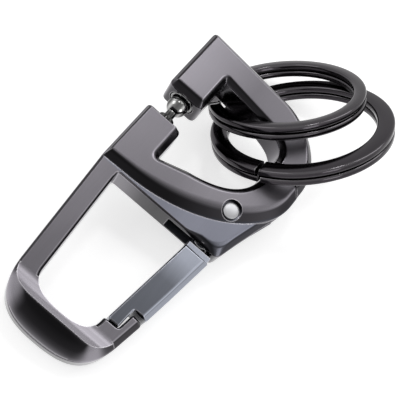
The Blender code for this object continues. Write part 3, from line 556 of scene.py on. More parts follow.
# %% Sizes of the hidden fits
TONGUE_HALF, TONGUE_EYE, TONGUE_THICK, TONGUE_ROOT = 1.5, 2.5, 2.0, 0.6
TONGUE_REACH = SEAM_RADIUS + FIT_GAP + TONGUE_ROOT
TONGUE_INSET = 1.44
TONGUE_HEADING = math.acos((RIVET_INSET - TONGUE_INSET) / TONGUE_REACH)
LOOP_OPENING = math.radians(40)
RIVET_RADIUS, RIVET_HEAD, RIVET_RECESS, RIVET_FOOT = 1.1, 1.4, 1.4, 0.7
PIN_RADIUS, PIN_LENGTH, PIN_SLIP = 0.75, 5.0, 0.03
KNUCKLE_RADIUS, KNUCKLE_BASE, KNUCKLE_THICK, HEEL = 1.9, 1.3, 1.4, 3.2
CAVITY_LEFT = LOOP_WIDTH * 0.509
SHANK_RADIUS, SHANK_LENGTH = 0.95, 3.6


# %% Cutters of the frame
def along_catch(points):
    """Carries a piece turned about z onto the catch's axis, which runs along y through the end blocks."""
    return np.stack((points[..., 0] + BLOCK_WIDTH / 2, points[..., 2], MIDDLE - points[..., 1]), -1)


def catch_bore(name, radius, start, end):
    """A round hole on the catch's axis."""
    return lathe(name, ((radius, start), (radius, end)), along_catch)


def ray(distance, angle, side=0.0):
    """A point at a distance from the rivet along an angle, moved to its left."""
    along = circle(angle)
    return RIVET + along * distance + np.array((-along[1], along[0])) * side


def frame_cutters():
    """The tongue's slot, which sweeps from the closed to the open angle, and the plain holes."""
    half, eye = TONGUE_HALF + FIT_GAP, TONGUE_EYE + FIT_GAP
    far = SEAM_RADIUS + TONGUE_EYE
    closed, opened = TONGUE_HEADING, TONGUE_HEADING - LOOP_OPENING
    lean = math.asin(half / eye)
    points = [[ray(far, opened, -half)], arc(RIVET, far, opened, closed), [ray(far, closed, half)]]
    points.append(arc(RIVET, eye, closed + lean, opened + math.tau - lean))
    low = (THICKNESS - TONGUE_THICK) / 2 - FIT_GAP
    over = THICKNESS + OVERRUN
    slot = slab("tongue_slot", np.concatenate(points), low, THICKNESS - low)
    hole = cylinder("rivet_hole", RIVET, RIVET_RADIUS + PIN_GAP, -OVERRUN, over)
    recess = cylinder("rivet_recess", RIVET, RIVET_HEAD + FIT_GAP, THICKNESS - RIVET_RECESS, over)
    foot = cylinder("rivet_foot", RIVET, RIVET_HEAD + FIT_GAP, -OVERRUN, RIVET_FOOT + 2 * FIT_GAP)
    across = (CAVITY_LEFT, GATE_PIN[0] + KNUCKLE_RADIUS + FIT_GAP)
    along = (-CROSSBAR_FRONT - OVERRUN, GATE_PIN[1] + KNUCKLE_RADIUS + FIT_GAP)
    cavity = block("gate_cavity", across, along, KNUCKLE_BASE - FIT_GAP, KNUCKLE_BASE + HEEL + FIT_GAP)
    pin_top = FIT_GAP + PIN_LENGTH + PIN_SLIP
    pin = cylinder("pin_hole", GATE_PIN, PIN_RADIUS + PIN_SLIP, -OVERRUN, pin_top)
    ball_low, ball_high = BLOCK_HEIGHT - SHANK_LENGTH - FIT_GAP, BLOCK_HEIGHT + OVERRUN
    ball = catch_bore("ball_hole", SHANK_RADIUS + PIN_GAP, ball_low, ball_high)
    return [slot, hole, recess, foot, cavity, pin, ball]


ridge, ramp = nose_ridge()
cut_ridge = carve("nose", ridge, [], [ramp])
cut_ridge.modifiers.clear()
frame_piece = carve("frame_casting", lower_loop(), [base_plate(), cut_ridge], frame_cutters())

# %% [markdown]
# ## The loop hook
# The upper half of the key loop swings on the rivet by a thin tongue. It is one plate with wide mitred
# bevels, plus the tongue, less the eye and the socket that takes the ball.

# %% Loop hook
SLEEVE_BORE, SLEEVE_WALL, SLEEVE_LENGTH = 1.85, 0.36, 1.4
HOOK_END = BLOCK_HEIGHT + CATCH_SPACE
TOP_BEVEL = 0.7
LOOP_TOP = ((1.0, 0.60), (1.0, 0.77), (0.83, 0.94), (0.58, 0.958))
HOLE_TOP = ((1.0, 0.72), (1.0, 0.85), (0.86, 0.90), (0.68, 0.93))


def loop_hook():
    """The upper half loop. Its bevel thins evenly along the outer bend."""
    side = seam(SEAM_RADIUS + FIT_GAP)
    top = bend(shares(LOOP_TOP, LOOP_WIDTH, LOOP_HEIGHT))
    hole = shares(HOLE_TOP, *HOLE_SIZE, HOLE_CORNER)
    hole[0] = side[-1]
    path = outline(
        (side[0], OUTER_BEVEL, FOOT), (top, np.linspace(OUTER_BEVEL, TOP_BEVEL, len(top)), FOOT),
        ((0, LOOP_HEIGHT), TOP_BEVEL, FOOT, 0.9), ((0, HOOK_END), END_BEVEL, FOOT, 1.1),
        ((BLOCK_WIDTH, HOOK_END), INNER_BEVEL, FOOT, 1.1),
        ((BLOCK_WIDTH, LOOP_HEIGHT - UPPER_BAND), INNER_BEVEL, FOOT, 0.1),
        (bend(hole)[1:][::-1], INNER_BEVEL, FOOT), (side[1:][::-1], 0, 0),
    )
    body = plate("loop_hook", path, 0, THICKNESS, lambda width: width)
    lean = math.asin(TONGUE_HALF / TONGUE_EYE)
    points = [[ray(TONGUE_REACH, TONGUE_HEADING, side) for side in (-TONGUE_HALF, TONGUE_HALF)]]
    points.append(arc(RIVET, TONGUE_EYE, TONGUE_HEADING + lean, TONGUE_HEADING + math.tau - lean))
    low = (THICKNESS - TONGUE_THICK) / 2
    tongue = slab("tongue", np.concatenate(points), low, THICKNESS - low)
    eye = cylinder("tongue_eye", RIVET, RIVET_RADIUS + PIN_GAP, 0, THICKNESS)
    bore = SLEEVE_BORE + SLEEVE_WALL + PIN_GAP
    socket = catch_bore("socket", bore, HOOK_END - OVERRUN, HOOK_END + SLEEVE_LENGTH + FIT_GAP)
    return carve("loop_hook_casting", body, [tongue], [eye, socket])


hook_piece = loop_hook()

# %% [markdown]
# ## The gate
# The gate is a bar with a finger that laps the nose's seat. A lower heel runs under the deck to the pin.

# %% Gate
GATE_TOP = -CROSSBAR_FRONT - 1.6
GATE_ROOT = GATE_TOP - 1.3
GATE_BEVEL = 0.9
GATE_LEFT = LOOP_WIDTH * 0.672
GATE_SIDE = ((0.773, 0.865), (0.798, 0.64), (0.838, 0.0))
HEEL_GAP = 1.5 * FIT_GAP


def gate():
    """A narrow plate with a step for the finger, joined to the knuckle and the heel."""
    end = TIP[1] + 2 * FIT_GAP
    outer = shares(GATE_SIDE, LOOP_WIDTH, end - GATE_TOP, (0, GATE_TOP))
    finger_x, finger_y = SEAT[0] + FINGER + FIT_GAP / 2, SEAT[1] + FIT_GAP / 2
    fine = EDGE / 2
    path = outline(
        ((GATE_LEFT, GATE_TOP), fine, EDGE, 0.3), ((SEAT[0], finger_y + EDGE), fine, EDGE, 0.5),
        ((SEAT[0] + EDGE, finger_y), fine, fine, 0.4), ((finger_x, finger_y), fine, fine, 0.4),
        ((finger_x + fine, end), fine, fine, 0.3), ((outer[0, 0], end), GATE_BEVEL, EDGE, 0.5),
        (outer[1], GATE_BEVEL, EDGE), (outer[2], EDGE, fine, 0.3),
    )
    bar = plate("gate", path, EDGE, DECK, lambda width: width)
    left, right = GATE_PIN[0] - KNUCKLE_RADIUS, GATE_PIN[0] + KNUCKLE_RADIUS
    around = [*arc(GATE_PIN, KNUCKLE_RADIUS, 0, math.pi), (left, GATE_ROOT), (right, GATE_ROOT)]
    knuckle = slab("knuckle", around, KNUCKLE_BASE, KNUCKLE_BASE + KNUCKLE_THICK)
    across, along = (left + PIN_GAP, outer[2, 0] - PIN_GAP), (GATE_ROOT, -CROSSBAR_FRONT - HEEL_GAP)
    heel = block("heel", across, along, KNUCKLE_BASE + PIN_GAP, KNUCKLE_BASE + HEEL)
    hole = cylinder("knuckle_hole", GATE_PIN, PIN_RADIUS + PIN_GAP, 0, THICKNESS)
    return carve("gate_bar", bar, [knuckle, heel], [hole])


gate_piece = gate()

# %% [markdown]
# ## Turned pieces
# The rivet, the ball stud, its sleeve and the gate's pin are round, so each is a profile turned about its
# axis, with its corners rounded so that they catch the light.

# %% Rivet, ball stud, sleeve and pin
DOME_HEIGHT, HEAD_RIM, DOME_ROWS = 0.3, 0.45, 16
BALL_RADIUS, BALL_REACH, BALL_ROWS = 1.85, 4.4, 32
NECK_RADIUS, NECK_ROUND = 0.85, 0.18
COLLAR_RADIUS, COLLAR_HEIGHT = 1.5, 1.1
TURNED_SHARP = math.radians(40)


def rivet():
    """A shaft with a foot and a head. The dome is a flat ellipse (r sin a, rim + h cos a)."""
    seat = THICKNESS - RIVET_RECESS + FIT_GAP
    angle = np.linspace(0, math.pi / 2, DOME_ROWS)
    cap = np.column_stack((RIVET_HEAD * np.sin(angle), seat + HEAD_RIM + DOME_HEIGHT * np.cos(angle)))
    foot = FIT_GAP + RIVET_FOOT
    lower = [(RIVET_HEAD, seat), (RIVET_RADIUS, seat), (RIVET_RADIUS, foot), (RIVET_HEAD, foot)]
    profile = [*cap[:-1], *rounded([cap[-1], *lower, (RIVET_HEAD, FIT_GAP), (0, FIT_GAP)])]
    return lathe("rivet_turned", profile, lambda points: points + (*RIVET, 0))


def ball_stud():
    """A ball (r sin a, reach + r cos a) down to its neck, then the neck, the collar and the shank."""
    angle = np.linspace(0, math.pi - math.asin(NECK_RADIUS / BALL_RADIUS), BALL_ROWS)
    ball = np.column_stack((BALL_RADIUS * np.sin(angle), BALL_REACH + BALL_RADIUS * np.cos(angle)))
    collar = FIT_GAP + COLLAR_HEIGHT
    lower = [(NECK_RADIUS, collar), (COLLAR_RADIUS, collar), (COLLAR_RADIUS, FIT_GAP)]
    shank = [(SHANK_RADIUS, FIT_GAP), (SHANK_RADIUS, -SHANK_LENGTH), (0, -SHANK_LENGTH)]
    profile = [*ball, *rounded([ball[-1], *lower, *shank], NECK_ROUND)[1:]]
    return lathe("ball_stud_turned", np.array(profile) + (0, BLOCK_HEIGHT), along_catch)


def catch_sleeve():
    """A short tube. Its profile starts halfway up the bore, so that all four corners are rounded."""
    outer, start = SLEEVE_BORE + SLEEVE_WALL, (SLEEVE_BORE, SLEEVE_LENGTH / 2)
    turns = [(SLEEVE_BORE, SLEEVE_LENGTH), (outer, SLEEVE_LENGTH), (outer, 0), (SLEEVE_BORE, 0)]
    profile = np.array(rounded([start, *turns, start])[:-1]) + (0, HOOK_END)
    return lathe("catch_sleeve_turned", profile, along_catch, closed=True)


def gate_pin():
    """A plain pin."""
    top = FIT_GAP + PIN_LENGTH
    profile = rounded([(0, top), (PIN_RADIUS, top), (PIN_RADIUS, FIT_GAP), (0, FIT_GAP)])
    return lathe("gate_pin_turned", profile, lambda points: points + (*GATE_PIN, 0))


rivet_piece, ball_piece, sleeve_piece, pin_piece = rivet(), ball_stud(), catch_sleeve(), gate_pin()
for piece in (rivet_piece, ball_piece, sleeve_piece, pin_piece):
    finished(piece, TURNED_SHARP)

# %% [markdown]
# ## Wound wire
# A split ring is one flat wire wound round twice. Its middle line stays level for a turn, climbs by the
# wire's thickness in a short arc, and stays level for the second turn. The gate's spring is a round wire
# wound once and a quarter about the pin.

# %% Split rings
WIRE_THICK, TURN_GAP = 1.16, 0.23
WIRE_ROUND = 0.36
WIRE_SHARP = math.radians(50)
RING_CLIMB, RING_END = math.radians(2.2), math.radians(0.35)
RING_INSIDE = 0.06
LEVEL_POINTS, CLIMB_POINTS = 130, 18


def wire_section(width, height, radius, count=5):
    """A rectangle with round corners, as offsets across and up."""
    quarter = np.linspace(0, math.pi / 2, count)
    corner = circle(quarter) * radius + (width / 2 - radius, height / 2 - radius)
    upper = np.concatenate((corner, corner[::-1] * (-1, 1)))
    return np.concatenate((upper, upper[::-1] * (1, -1)))


def split_ring(name, ring):
    """The route (r cos a, r sin a, p k(a)) over almost two turns, where k climbs smoothly from -1/2 to 1/2
    about the middle. The wire's section is set across and up from it."""
    level = np.linspace(RING_CLIMB / 2, math.tau - RING_CLIMB / 2 - RING_END, LEVEL_POINTS)
    climbing = np.linspace(-RING_CLIMB / 2, RING_CLIMB / 2, CLIMB_POINTS)[1:-1]
    angle = np.concatenate((-level[::-1], climbing, level))
    climb = np.clip(angle / RING_CLIMB + 0.5, 0, 1)
    outwards = np.column_stack((circle(angle), 0 * angle))
    section = wire_section(ring["width"], WIRE_THICK, WIRE_ROUND)
    centre_line = outwards * (ring["radius"] - RING_INSIDE - ring["width"] / 2)
    centre_line[:, 2] = (WIRE_THICK + TURN_GAP) * (climb**2 * (3 - 2 * climb) - 0.5)
    points = centre_line[:, None] + outwards[:, None] * section[:, :1] + section[:, 1:] * (0, 0, 1)
    turn = Matrix.Identity(3)
    for title, sign, axis in (("heading", 1, "Z"), ("tilt", -1, "X"), ("split", 1, "Z")):
        turn = turn @ Matrix.Rotation(sign * math.radians(ring[title]), 3, axis)
    return finished(mesh_object(name, *skin(list(points @ np.array(turn).T + ring["centre"]))), WIRE_SHARP)


large_piece = split_ring("split_ring_large_wire", LARGE_RING)
small_piece = split_ring("split_ring_small_wire", SMALL_RING)

# %% Gate spring
SPRING_WIRE, SPRING_RADIUS, SPRING_PITCH, SPRING_TURNS, SPRING_LEG = 0.18, 1.25, 0.8, 1.25, 3.6
SPRING_POINTS, WIRE_SIDES = 80, 12


def gate_spring():
    """A round wire along a helix (r cos a, r sin a, z + p a / 2 pi) with a straight leg at each end."""
    low = KNUCKLE_BASE + KNUCKLE_THICK + FIT_GAP + SPRING_WIRE
    angle = np.linspace(0, math.tau * SPRING_TURNS, SPRING_POINTS)
    helix = np.column_stack((arc((0, 0), SPRING_RADIUS, 0, angle[-1], SPRING_POINTS), angle))
    helix[:, 2] *= SPRING_PITCH / math.tau
    first, last = helix[0] - (0, SPRING_RADIUS, 0), helix[-1] - (SPRING_LEG, 0, 0)
    route = np.concatenate(([first], helix, [last])) + (*GATE_PIN, low)
    ahead = unit(np.gradient(route, axis=0))
    side = unit(np.cross(ahead, (0, 0, 1)))
    over = np.cross(side, ahead)
    around = np.linspace(0, math.tau, WIRE_SIDES, endpoint=False)[:, None]
    points = route[:, None] + SPRING_WIRE * (side[:, None] * np.cos(around) + over[:, None] * np.sin(around))
    made = mesh_object("gate_spring_wire", *skin(list(points)))
    print(made.name, "faces:", len(made.data.polygons))
    return made


spring_piece = gate_spring()

# %% [markdown]
# ## Finishes
# The plating is a dark gunmetal. Flat tops are finely brushed, the sloped bevels are polished. Light and
# reflection are painted into the colour: flat tops are painted grey, the bevels almost black, and upright
# walls in between. Which painted tone a point has follows from which way its surface faces in the drawing
# frame, so a shared node group reads the object's normal and gives the masks.

# %% Node helpers
def new_group(name, inputs, outputs):
    """A shader node group of plain numbers, with inputs (title, default) and outputs by name."""
    group = bpy.data.node_groups.new(name, "ShaderNodeTree")
    for title, value in inputs:
        socket = group.interface.new_socket(name=title, in_out="INPUT", socket_type="NodeSocketFloat")
        socket.default_value = value
    for title in outputs:
        group.interface.new_socket(name=title, in_out="OUTPUT", socket_type="NodeSocketFloat")
    return group, group.nodes.new("NodeGroupInput").outputs, group.nodes.new("NodeGroupOutput").inputs


def add(tree, kind, links=(), **values):
    """Adds a node, sets its properties, and links or sets its inputs by index or name."""
    node = tree.nodes.new(kind)
    for title, value in values.items():
        setattr(node, title, value)
    for socket, value in dict(links).items():
        if isinstance(value, bpy.types.NodeSocket):
            tree.links.new(value, node.inputs[socket])
        else:
            node.inputs[socket].default_value = value
    return node


def group_node(tree, group, **given):
    """The outputs of a node group, placed in a tree with its own values."""
    return add(tree, "ShaderNodeGroup", given, node_tree=group).outputs


def maths(tree, operation, *values, clamp=False):
    """The result of one Math node."""
    links = dict(enumerate(values))
    return add(tree, "ShaderNodeMath", links, operation=operation, use_clamp=clamp).outputs[0]


def product(tree, *values):
    """All values multiplied."""
    result = values[0]
    for value in values[1:]:
        result = maths(tree, "MULTIPLY", result, value)
    return result


def inverse(tree, value):
    """1 - value."""
    return maths(tree, "SUBTRACT", 1.0, value)


def around_one(tree, value, spread):
    """A value about 1/2 made a factor about 1: 1 + spread (value - 1/2)."""
    return maths(tree, "MULTIPLY_ADD", value, spread, 1 - spread / 2)


def dot(tree, first, second):
    """The dot product of two vectors."""
    node = add(tree, "ShaderNodeVectorMath", {0: first, 1: second}, operation="DOT_PRODUCT")
    return node.outputs["Value"]


def tinted(tree, colour, tint):
    """A colour times another, or times a number."""
    return add(tree, "ShaderNodeVectorMath", {0: colour, 1: tint}, operation="MULTIPLY").outputs[0]


def ranged(tree, value, low, high, start=0.0, end=1.0, **values):
    """A value between low and high, carried to between start and end."""
    bounds = {0: value, 1: low, 2: high, 3: start, 4: end}
    return add(tree, "ShaderNodeMapRange", bounds, **values).outputs[0]


def mix(tree, share, first, second, kind="FLOAT", **values):
    """Blends two numbers or two colours by a share."""
    a, b, out = (2, 3, 0) if kind == "FLOAT" else (6, 7, 2)
    return add(tree, "ShaderNodeMix", {0: share, a: first, b: second}, data_type=kind, **values).outputs[out]


def ramp_node(tree, value, stops):
    """A ramp of greys over a value from 0 to 1. The stops are (place, tone) in per cent."""
    node = add(tree, "ShaderNodeValToRGB", {0: value})
    elements = node.color_ramp.elements
    while len(elements) < len(stops):
        elements.new(0.5)
    for element, (place, tone) in zip(elements, stops):
        element.position = place / 100
        element.color = (*[tone / 100] * 3, 1)
    return node.outputs[0]


# %% The facing of a surface
FACING_BLEND = 0.05
LEAST_SQUARE = 0.0001


def facing_group():
    """Puts out how far a surface faces up, from 0 (down) over 0.5 (upright) to 1, and three blends from 0 to
    1: nose to rings, left to right, and along to across. The last is across^2 / (across^2 + along^2)."""
    group, _, out = new_group("Facing", [], ("Up", "To rings", "To right", "Sideways"))
    normal = add(group, "ShaderNodeTexCoord").outputs["Normal"]
    up, along, across = (dot(group, normal, axis) for axis in (UP, ALONG, ACROSS))
    group.links.new(maths(group, "MULTIPLY_ADD", up, 0.5, 0.5), out["Up"])
    for title, part in (("To rings", along), ("To right", across)):
        blend = ranged(group, part, -FACING_BLEND, FACING_BLEND, interpolation_type="SMOOTHSTEP")
        group.links.new(blend, out[title])
    squares = [maths(group, "MULTIPLY_ADD", part, part, LEAST_SQUARE) for part in (along, across)]
    sideways = maths(group, "DIVIDE", squares[1], maths(group, "ADD", *squares))
    group.links.new(sideways, out["Sideways"])
    return group


# %% Brushing and clouding
STREAK_DETAIL = 3.0
CLOUD_SCALE, CLOUD_DETAIL = 90.0, 2.0


def brushing_group():
    """Values about 0.5: fine streaks along the carabiner, which are noise stretched one way, and clouds."""
    group, given, out = new_group("Brushing", [("Fineness", 7000.0), ("Stretch", 0.03)], ("Streak", "Cloud"))
    place = add(group, "ShaderNodeTexCoord").outputs["Object"]
    across, along, up = (dot(group, place, axis) for axis in (ACROSS, ALONG, UP))
    slow = product(group, along, given["Stretch"])
    drawn = add(group, "ShaderNodeCombineXYZ", {0: across, 1: slow, 2: up}).outputs[0]
    fine = {"Vector": drawn, "Scale": given["Fineness"], "Detail": STREAK_DETAIL}
    coarse = {"Vector": place, "Scale": CLOUD_SCALE, "Detail": CLOUD_DETAIL}
    for title, noise in (("Streak", fine), ("Cloud", coarse)):
        group.links.new(add(group, "ShaderNodeTexNoise", noise).outputs[0], out[title])
    return group


# %% Painted edge highlights
EDGE_REACH, EDGE_STRENGTH = 0.00018, 6.0


def edge_group():
    """Finds convex edges, where highlights are painted: the more a rounded normal departs from the true one,
    the nearer the edge.
    """
    inputs = [("Reach", EDGE_REACH), ("Strength", EDGE_STRENGTH)]
    group, given, out = new_group("Edge light", inputs, ["Edge"])
    soft = add(group, "ShaderNodeBevel", {"Radius": given["Reach"]}, samples=4).outputs[0]
    away = inverse(group, dot(group, soft, add(group, "ShaderNodeNewGeometry").outputs["Normal"]))
    group.links.new(maths(group, "MULTIPLY", away, given["Strength"], clamp=True), out["Edge"])
    return group


FACING, BRUSHING, EDGES = facing_group(), brushing_group(), edge_group()
print("node groups:", [group.name for group in bpy.data.node_groups])

# %% [markdown]
# A polished slope shows the room in its direction; here that reflection is painted into the colour. The
# painted tones of the cast pieces are four ramps over how far a surface faces up: slopes towards the nose run
# into painted black, slopes towards the rings and to the right get a painted highlight just off level, and
# upright walls are painted middle grey. They are blended by the slope's direction.

# %% Painted reflections and highlights of the slopes
# Painted reflections: grey tones by how far a slope faces up, with painted highlights just off level.
SLOPE_REFLECTION_TONES = {
    "nose": (
        (0, 7), (30, 6), (50, 6), (57, 10), (60, 30), (63, 14), (70, 8.5), (78, 3.6), (86, 1.5), (94, 0.7),
        (96.8, 0.7), (98.5, 5), (99.6, 12.5), (100, 15),
    ),
    "rings": (
        (0, 7), (30, 6), (50, 10), (60, 7), (70, 2), (84, 3), (90, 16), (94.5, 21), (96.5, 14), (98, 14),
        (99.1, 22), (99.8, 16), (100, 15),
    ),
    "left": (
        (0, 7), (35, 10), (50, 21), (66, 18), (75, 10), (83, 3), (93, 1.6), (97, 5), (99, 12), (100, 15),
    ),
    "right": (
        (0, 7), (35, 10), (50, 20), (57, 34), (64, 25), (70, 12), (78, 5), (90, 3.5), (95, 4.5), (97.6, 30),
        (99, 26), (100, 15),
    ),
}
# Painted highlight on the nose where a slope faces halfway between nose and side.
CORNER_PAINTED_HIGHLIGHT = ((30, 0), (50, 10), (62, 22), (92, 22), (97, 0))
CORNER_START, CORNER_FULL, CORNER_ELSEWHERE = -12, -20, 0.2
CORNER_NARROW = 0.2


def place_along(tree, axis):
    """How far a point lies along an axis of the drawing frame, in mm: (p - s) . axis."""
    place = add(tree, "ShaderNodeTexCoord").outputs["Object"]
    axis = np.array(axis) / MM
    return maths(tree, "SUBTRACT", dot(tree, place, axis.tolist()), float(axis @ SHIFT))


def painted_slope_reflection(tree, facing, given):
    """The four ramps of painted reflection, blended by direction, and on the nose a painted highlight on the
    corner where a slope faces between nose and side: with the share s that faces sideways, 4 s (1 - s) is 1
    halfway."""
    up, rings, sideways = (facing[title] for title in ("Up", "To rings", "Sideways"))
    tones = {name: ramp_node(tree, up, stops) for name, stops in given.items()}
    along = mix(tree, rings, tones["nose"], tones["rings"], "RGBA")
    across = mix(tree, facing["To right"], tones["left"], tones["right"], "RGBA")
    halfway = product(tree, 4.0, sideways, inverse(tree, sideways))
    halfway = ranged(tree, halfway, CORNER_NARROW, 1.0, interpolation_type="SMOOTHSTEP")
    nose = ranged(tree, place_along(tree, ALONG), CORNER_START, CORNER_FULL, CORNER_ELSEWHERE)
    corner = product(tree, halfway, inverse(tree, rings), ramp_node(tree, up, CORNER_PAINTED_HIGHLIGHT), nose)
    return mix(tree, 1.0, mix(tree, sideways, along, across, "RGBA"), corner, "RGBA", blend_type="ADD")


# %% Painted light and shade by place
FACTOR_TOP = 4
WALL_REACH = 0.25
# Painted reflection on the crossbar's wall: factors across it, lighter at the arm's end.
WALL_REFLECTION_FACTORS = ((3.75, 4.0), (6.0, 3.4), (9.0, 1.2), (12.0, 0.55), (16.0, 0.7), (20.0, 0.7))
LEVEL_FROM, LEVEL_FULL = 0.75, 0.95


def painted_light_factor(tree, axis, stops):
    """A factor of painted light and shade that changes along an axis, from stops of (place in mm, factor). A
    ramp holds 0 to 1, so its tones are shares of the greatest factor there may be."""
    start, end = stops[0][0], stops[-1][0]
    share = ranged(tree, place_along(tree, axis), start, end)
    tones = [(100 * (at - start) / (end - start), 100 * factor / FACTOR_TOP) for at, factor in stops]
    return product(tree, ramp_node(tree, share, tones), FACTOR_TOP)


def painted_wall_reflection(tree, facing):
    """Painted reflection: the crossbar's wall mirrors the arm, so it is painted lighter at the arm's end; a
    factor, and 1 on all other faces.
    """
    wall = maths(tree, "COMPARE", place_along(tree, ALONG), -CROSSBAR_FRONT, WALL_REACH)
    ahead = product(tree, wall, *(inverse(tree, facing[title]) for title in ("To rings", "Sideways")))
    return mix(tree, ahead, 1.0, painted_light_factor(tree, ACROSS, WALL_REFLECTION_FACTORS))


def deck_mask(tree, facing):
    """1 on the deck's top, which lies a step below the key loop and behind the crossbar's wall, else 0."""
    behind = maths(tree, "GREATER_THAN", place_along(tree, ALONG), WALL_REACH - CROSSBAR_FRONT)
    low = maths(tree, "LESS_THAN", place_along(tree, UP), DECK + EDGE_ROUND)
    return product(tree, ranged(tree, facing["Up"], LEVEL_FROM, LEVEL_FULL), behind, low)


# %% Cast finishes
# Painted highlights along convex edges: reach and strength of the edge mask, its share, and its pale colour.
CAST_REACH, CAST_STRENGTH, CAST_EDGE_HIGHLIGHT = 0.00022, 14.0, 0.6
CAST_HIGHLIGHT_COLOUR = (0.6, 0.58, 0.61)
FLAT_FROM, FLAT_FULL = 0.97, 0.999
SLOPE_ROUGH = 0.18
STREAK_SPREAD, CLOUD_SPREAD, ROUGH_SPREAD = 0.14, 0.24, 0.24
BUMP = {"Strength": 0.04, "Distance": 0.00002}


def new_metal(name):
    """A material that is all metal, its node tree, and the inputs of its shader."""
    made = bpy.data.materials.new(name)
    made.use_nodes = True
    inputs = made.node_tree.nodes["Principled BSDF"].inputs
    inputs["Metallic"].default_value = 1.0
    return made, made.node_tree, inputs


def coat(tree, inputs, colour, rough, share, highlight_colour):
    """Feeds the shader a colour with a painted highlight, by a share, along the edges, and a roughness."""
    tree.links.new(mix(tree, share, colour, (*highlight_colour, 1), "RGBA"), inputs["Base Color"])
    tree.links.new(rough, inputs["Roughness"])


def cast_finish(name, tint, satin, painted_light, tones=SLOPE_REFLECTION_TONES, deck_tint=None):
    """Plated casting with painted reflections and shade. tint colours the grey tones, satin is the roughness
    of the brushed flats. The axis and stops of (place along it in mm, tone) give painted light and shade: the
    flats are painted lighter or darker towards one end."""
    made, tree, inputs = new_metal(name)
    facing, brush = group_node(tree, FACING), group_node(tree, BRUSHING)
    edge = group_node(tree, EDGES, Reach=CAST_REACH, Strength=CAST_STRENGTH)
    flat = ranged(tree, facing["Up"], FLAT_FROM, FLAT_FULL)
    streak = around_one(tree, brush["Streak"], STREAK_SPREAD)
    cloud = around_one(tree, brush["Cloud"], CLOUD_SPREAD)
    # Painted light and shade along the piece, times the brushed streaks and clouds; on the crossbar's wall,
    # its painted reflection.
    brushing_and_painted_light = product(tree, painted_light_factor(tree, *painted_light), streak, cloud)
    grain_and_painted_light = mix(tree, flat, painted_wall_reflection(tree, facing), brushing_and_painted_light)
    colour = tinted(tree, painted_slope_reflection(tree, facing, tones), tint)
    if deck_tint is not None:
        colour = mix(tree, deck_mask(tree, facing), colour, tinted(tree, colour, deck_tint), "RGBA")
    polish = around_one(tree, brush["Streak"], ROUGH_SPREAD)
    rough = product(tree, mix(tree, flat, SLOPE_ROUGH, satin), polish)
    coat(tree, inputs, tinted(tree, colour, grain_and_painted_light), rough, product(tree, edge["Edge"], CAST_EDGE_HIGHLIGHT), CAST_HIGHLIGHT_COLOUR)
    bump = add(tree, "ShaderNodeBump", {"Height": brush["Streak"], **BUMP})
    tree.links.new(bump.outputs[0], inputs["Normal"])
    return made


# %% Bright finishes
# Share of the painted edge highlights on bright metal.
BRIGHT_EDGE_HIGHLIGHT = 0.7
SHADE_SPREAD, POLISH_SPREAD = 0.3, 0.5
EVEN = ((0, 100), (100, 100))
# Painted shade before the foot place: its tone, and the length over which it fades.
NECK_SHADE_TONE, NECK_SHADE_FADE = 0.2, 1.0


def bright_finish(name, colour, rough, highlight_colour, painted_bands=EVEN, reach=EDGE_REACH, foot=None):
    """Plain polished metal with faint clouding in colour and polish, and painted highlights on the edges. The
    bands are factors over how far the surface faces from left (0) to right (1): painted highlights and shade,
    such as lamps leave on a ball. foot is the place along the carabiner, in mm, before which the metal gets
    painted shade."""
    made, tree, inputs = new_metal(name)
    brush, edge = group_node(tree, BRUSHING), group_node(tree, EDGES, Reach=reach)
    across = dot(tree, add(tree, "ShaderNodeTexCoord").outputs["Normal"], ACROSS)
    painted_band = ramp_node(tree, maths(tree, "MULTIPLY_ADD", across, 0.5, 0.5), painted_bands)
    shade = product(tree, painted_band, around_one(tree, brush["Cloud"], SHADE_SPREAD))
    if foot is not None:
        painted_neck_shade = ranged(tree, place_along(tree, ALONG), foot, foot + NECK_SHADE_FADE, NECK_SHADE_TONE)
        shade = product(tree, shade, painted_neck_shade)
    polish = product(tree, around_one(tree, brush["Cloud"], POLISH_SPREAD), rough)
    coat(tree, inputs, tinted(tree, colour, shade), polish, product(tree, edge["Edge"], BRIGHT_EDGE_HIGHLIGHT), highlight_colour)
    return made


# %% The metals
GUNMETAL, SOFT_SATIN = (1.0, 0.95, 1.05), 0.36
DECK_TINT = (1.0, 1.08, 1.17)
# Painted light and shade on the flat tops: lighter or darker across the frame and the hook.
FRAME_PAINTED_LIGHT = (ACROSS, ((0, 0.72), (8, 0.71), (12, 0.76), (17, 0.92), (20, 0.9), (24, 0.9), (28, 0.65)))
HOOK_PAINTED_LIGHT = (ACROSS, ((0, 1.0), (5, 0.82), (12, 0.52), (20, 0.6), (28, 0.6)))
FRAME_METAL = cast_finish("gunmetal_frame_plating", GUNMETAL, SOFT_SATIN, FRAME_PAINTED_LIGHT, deck_tint=DECK_TINT)
HOOK_METAL = cast_finish("gunmetal_hook_plating", GUNMETAL, SOFT_SATIN, HOOK_PAINTED_LIGHT)

BLUE_GREY, FINE_SATIN = (0.88, 0.93, 1.08), 0.3
# Painted reflections of the gate's slopes: a painted light strip along its right side.
GATE_REFLECTION_TONES = {
    **SLOPE_REFLECTION_TONES,
    "right": ((0, 7), (40, 15), (50, 38), (80, 32), (92, 27), (96.5, 50), (99, 30), (100, 15)),
    "left": ((0, 7), (40, 10), (60, 12), (90, 10), (97, 25), (100, 15)),
}
# Painted light: the gate is painted lighter towards its hinge.
GATE_PAINTED_LIGHT = (ALONG, ((-20, 0.62), (-9, 0.8), (-4.5, 1.8), (-2, 1.9)))
GATE_METAL = cast_finish("gate_plating", BLUE_GREY, FINE_SATIN, GATE_PAINTED_LIGHT, GATE_REFLECTION_TONES)

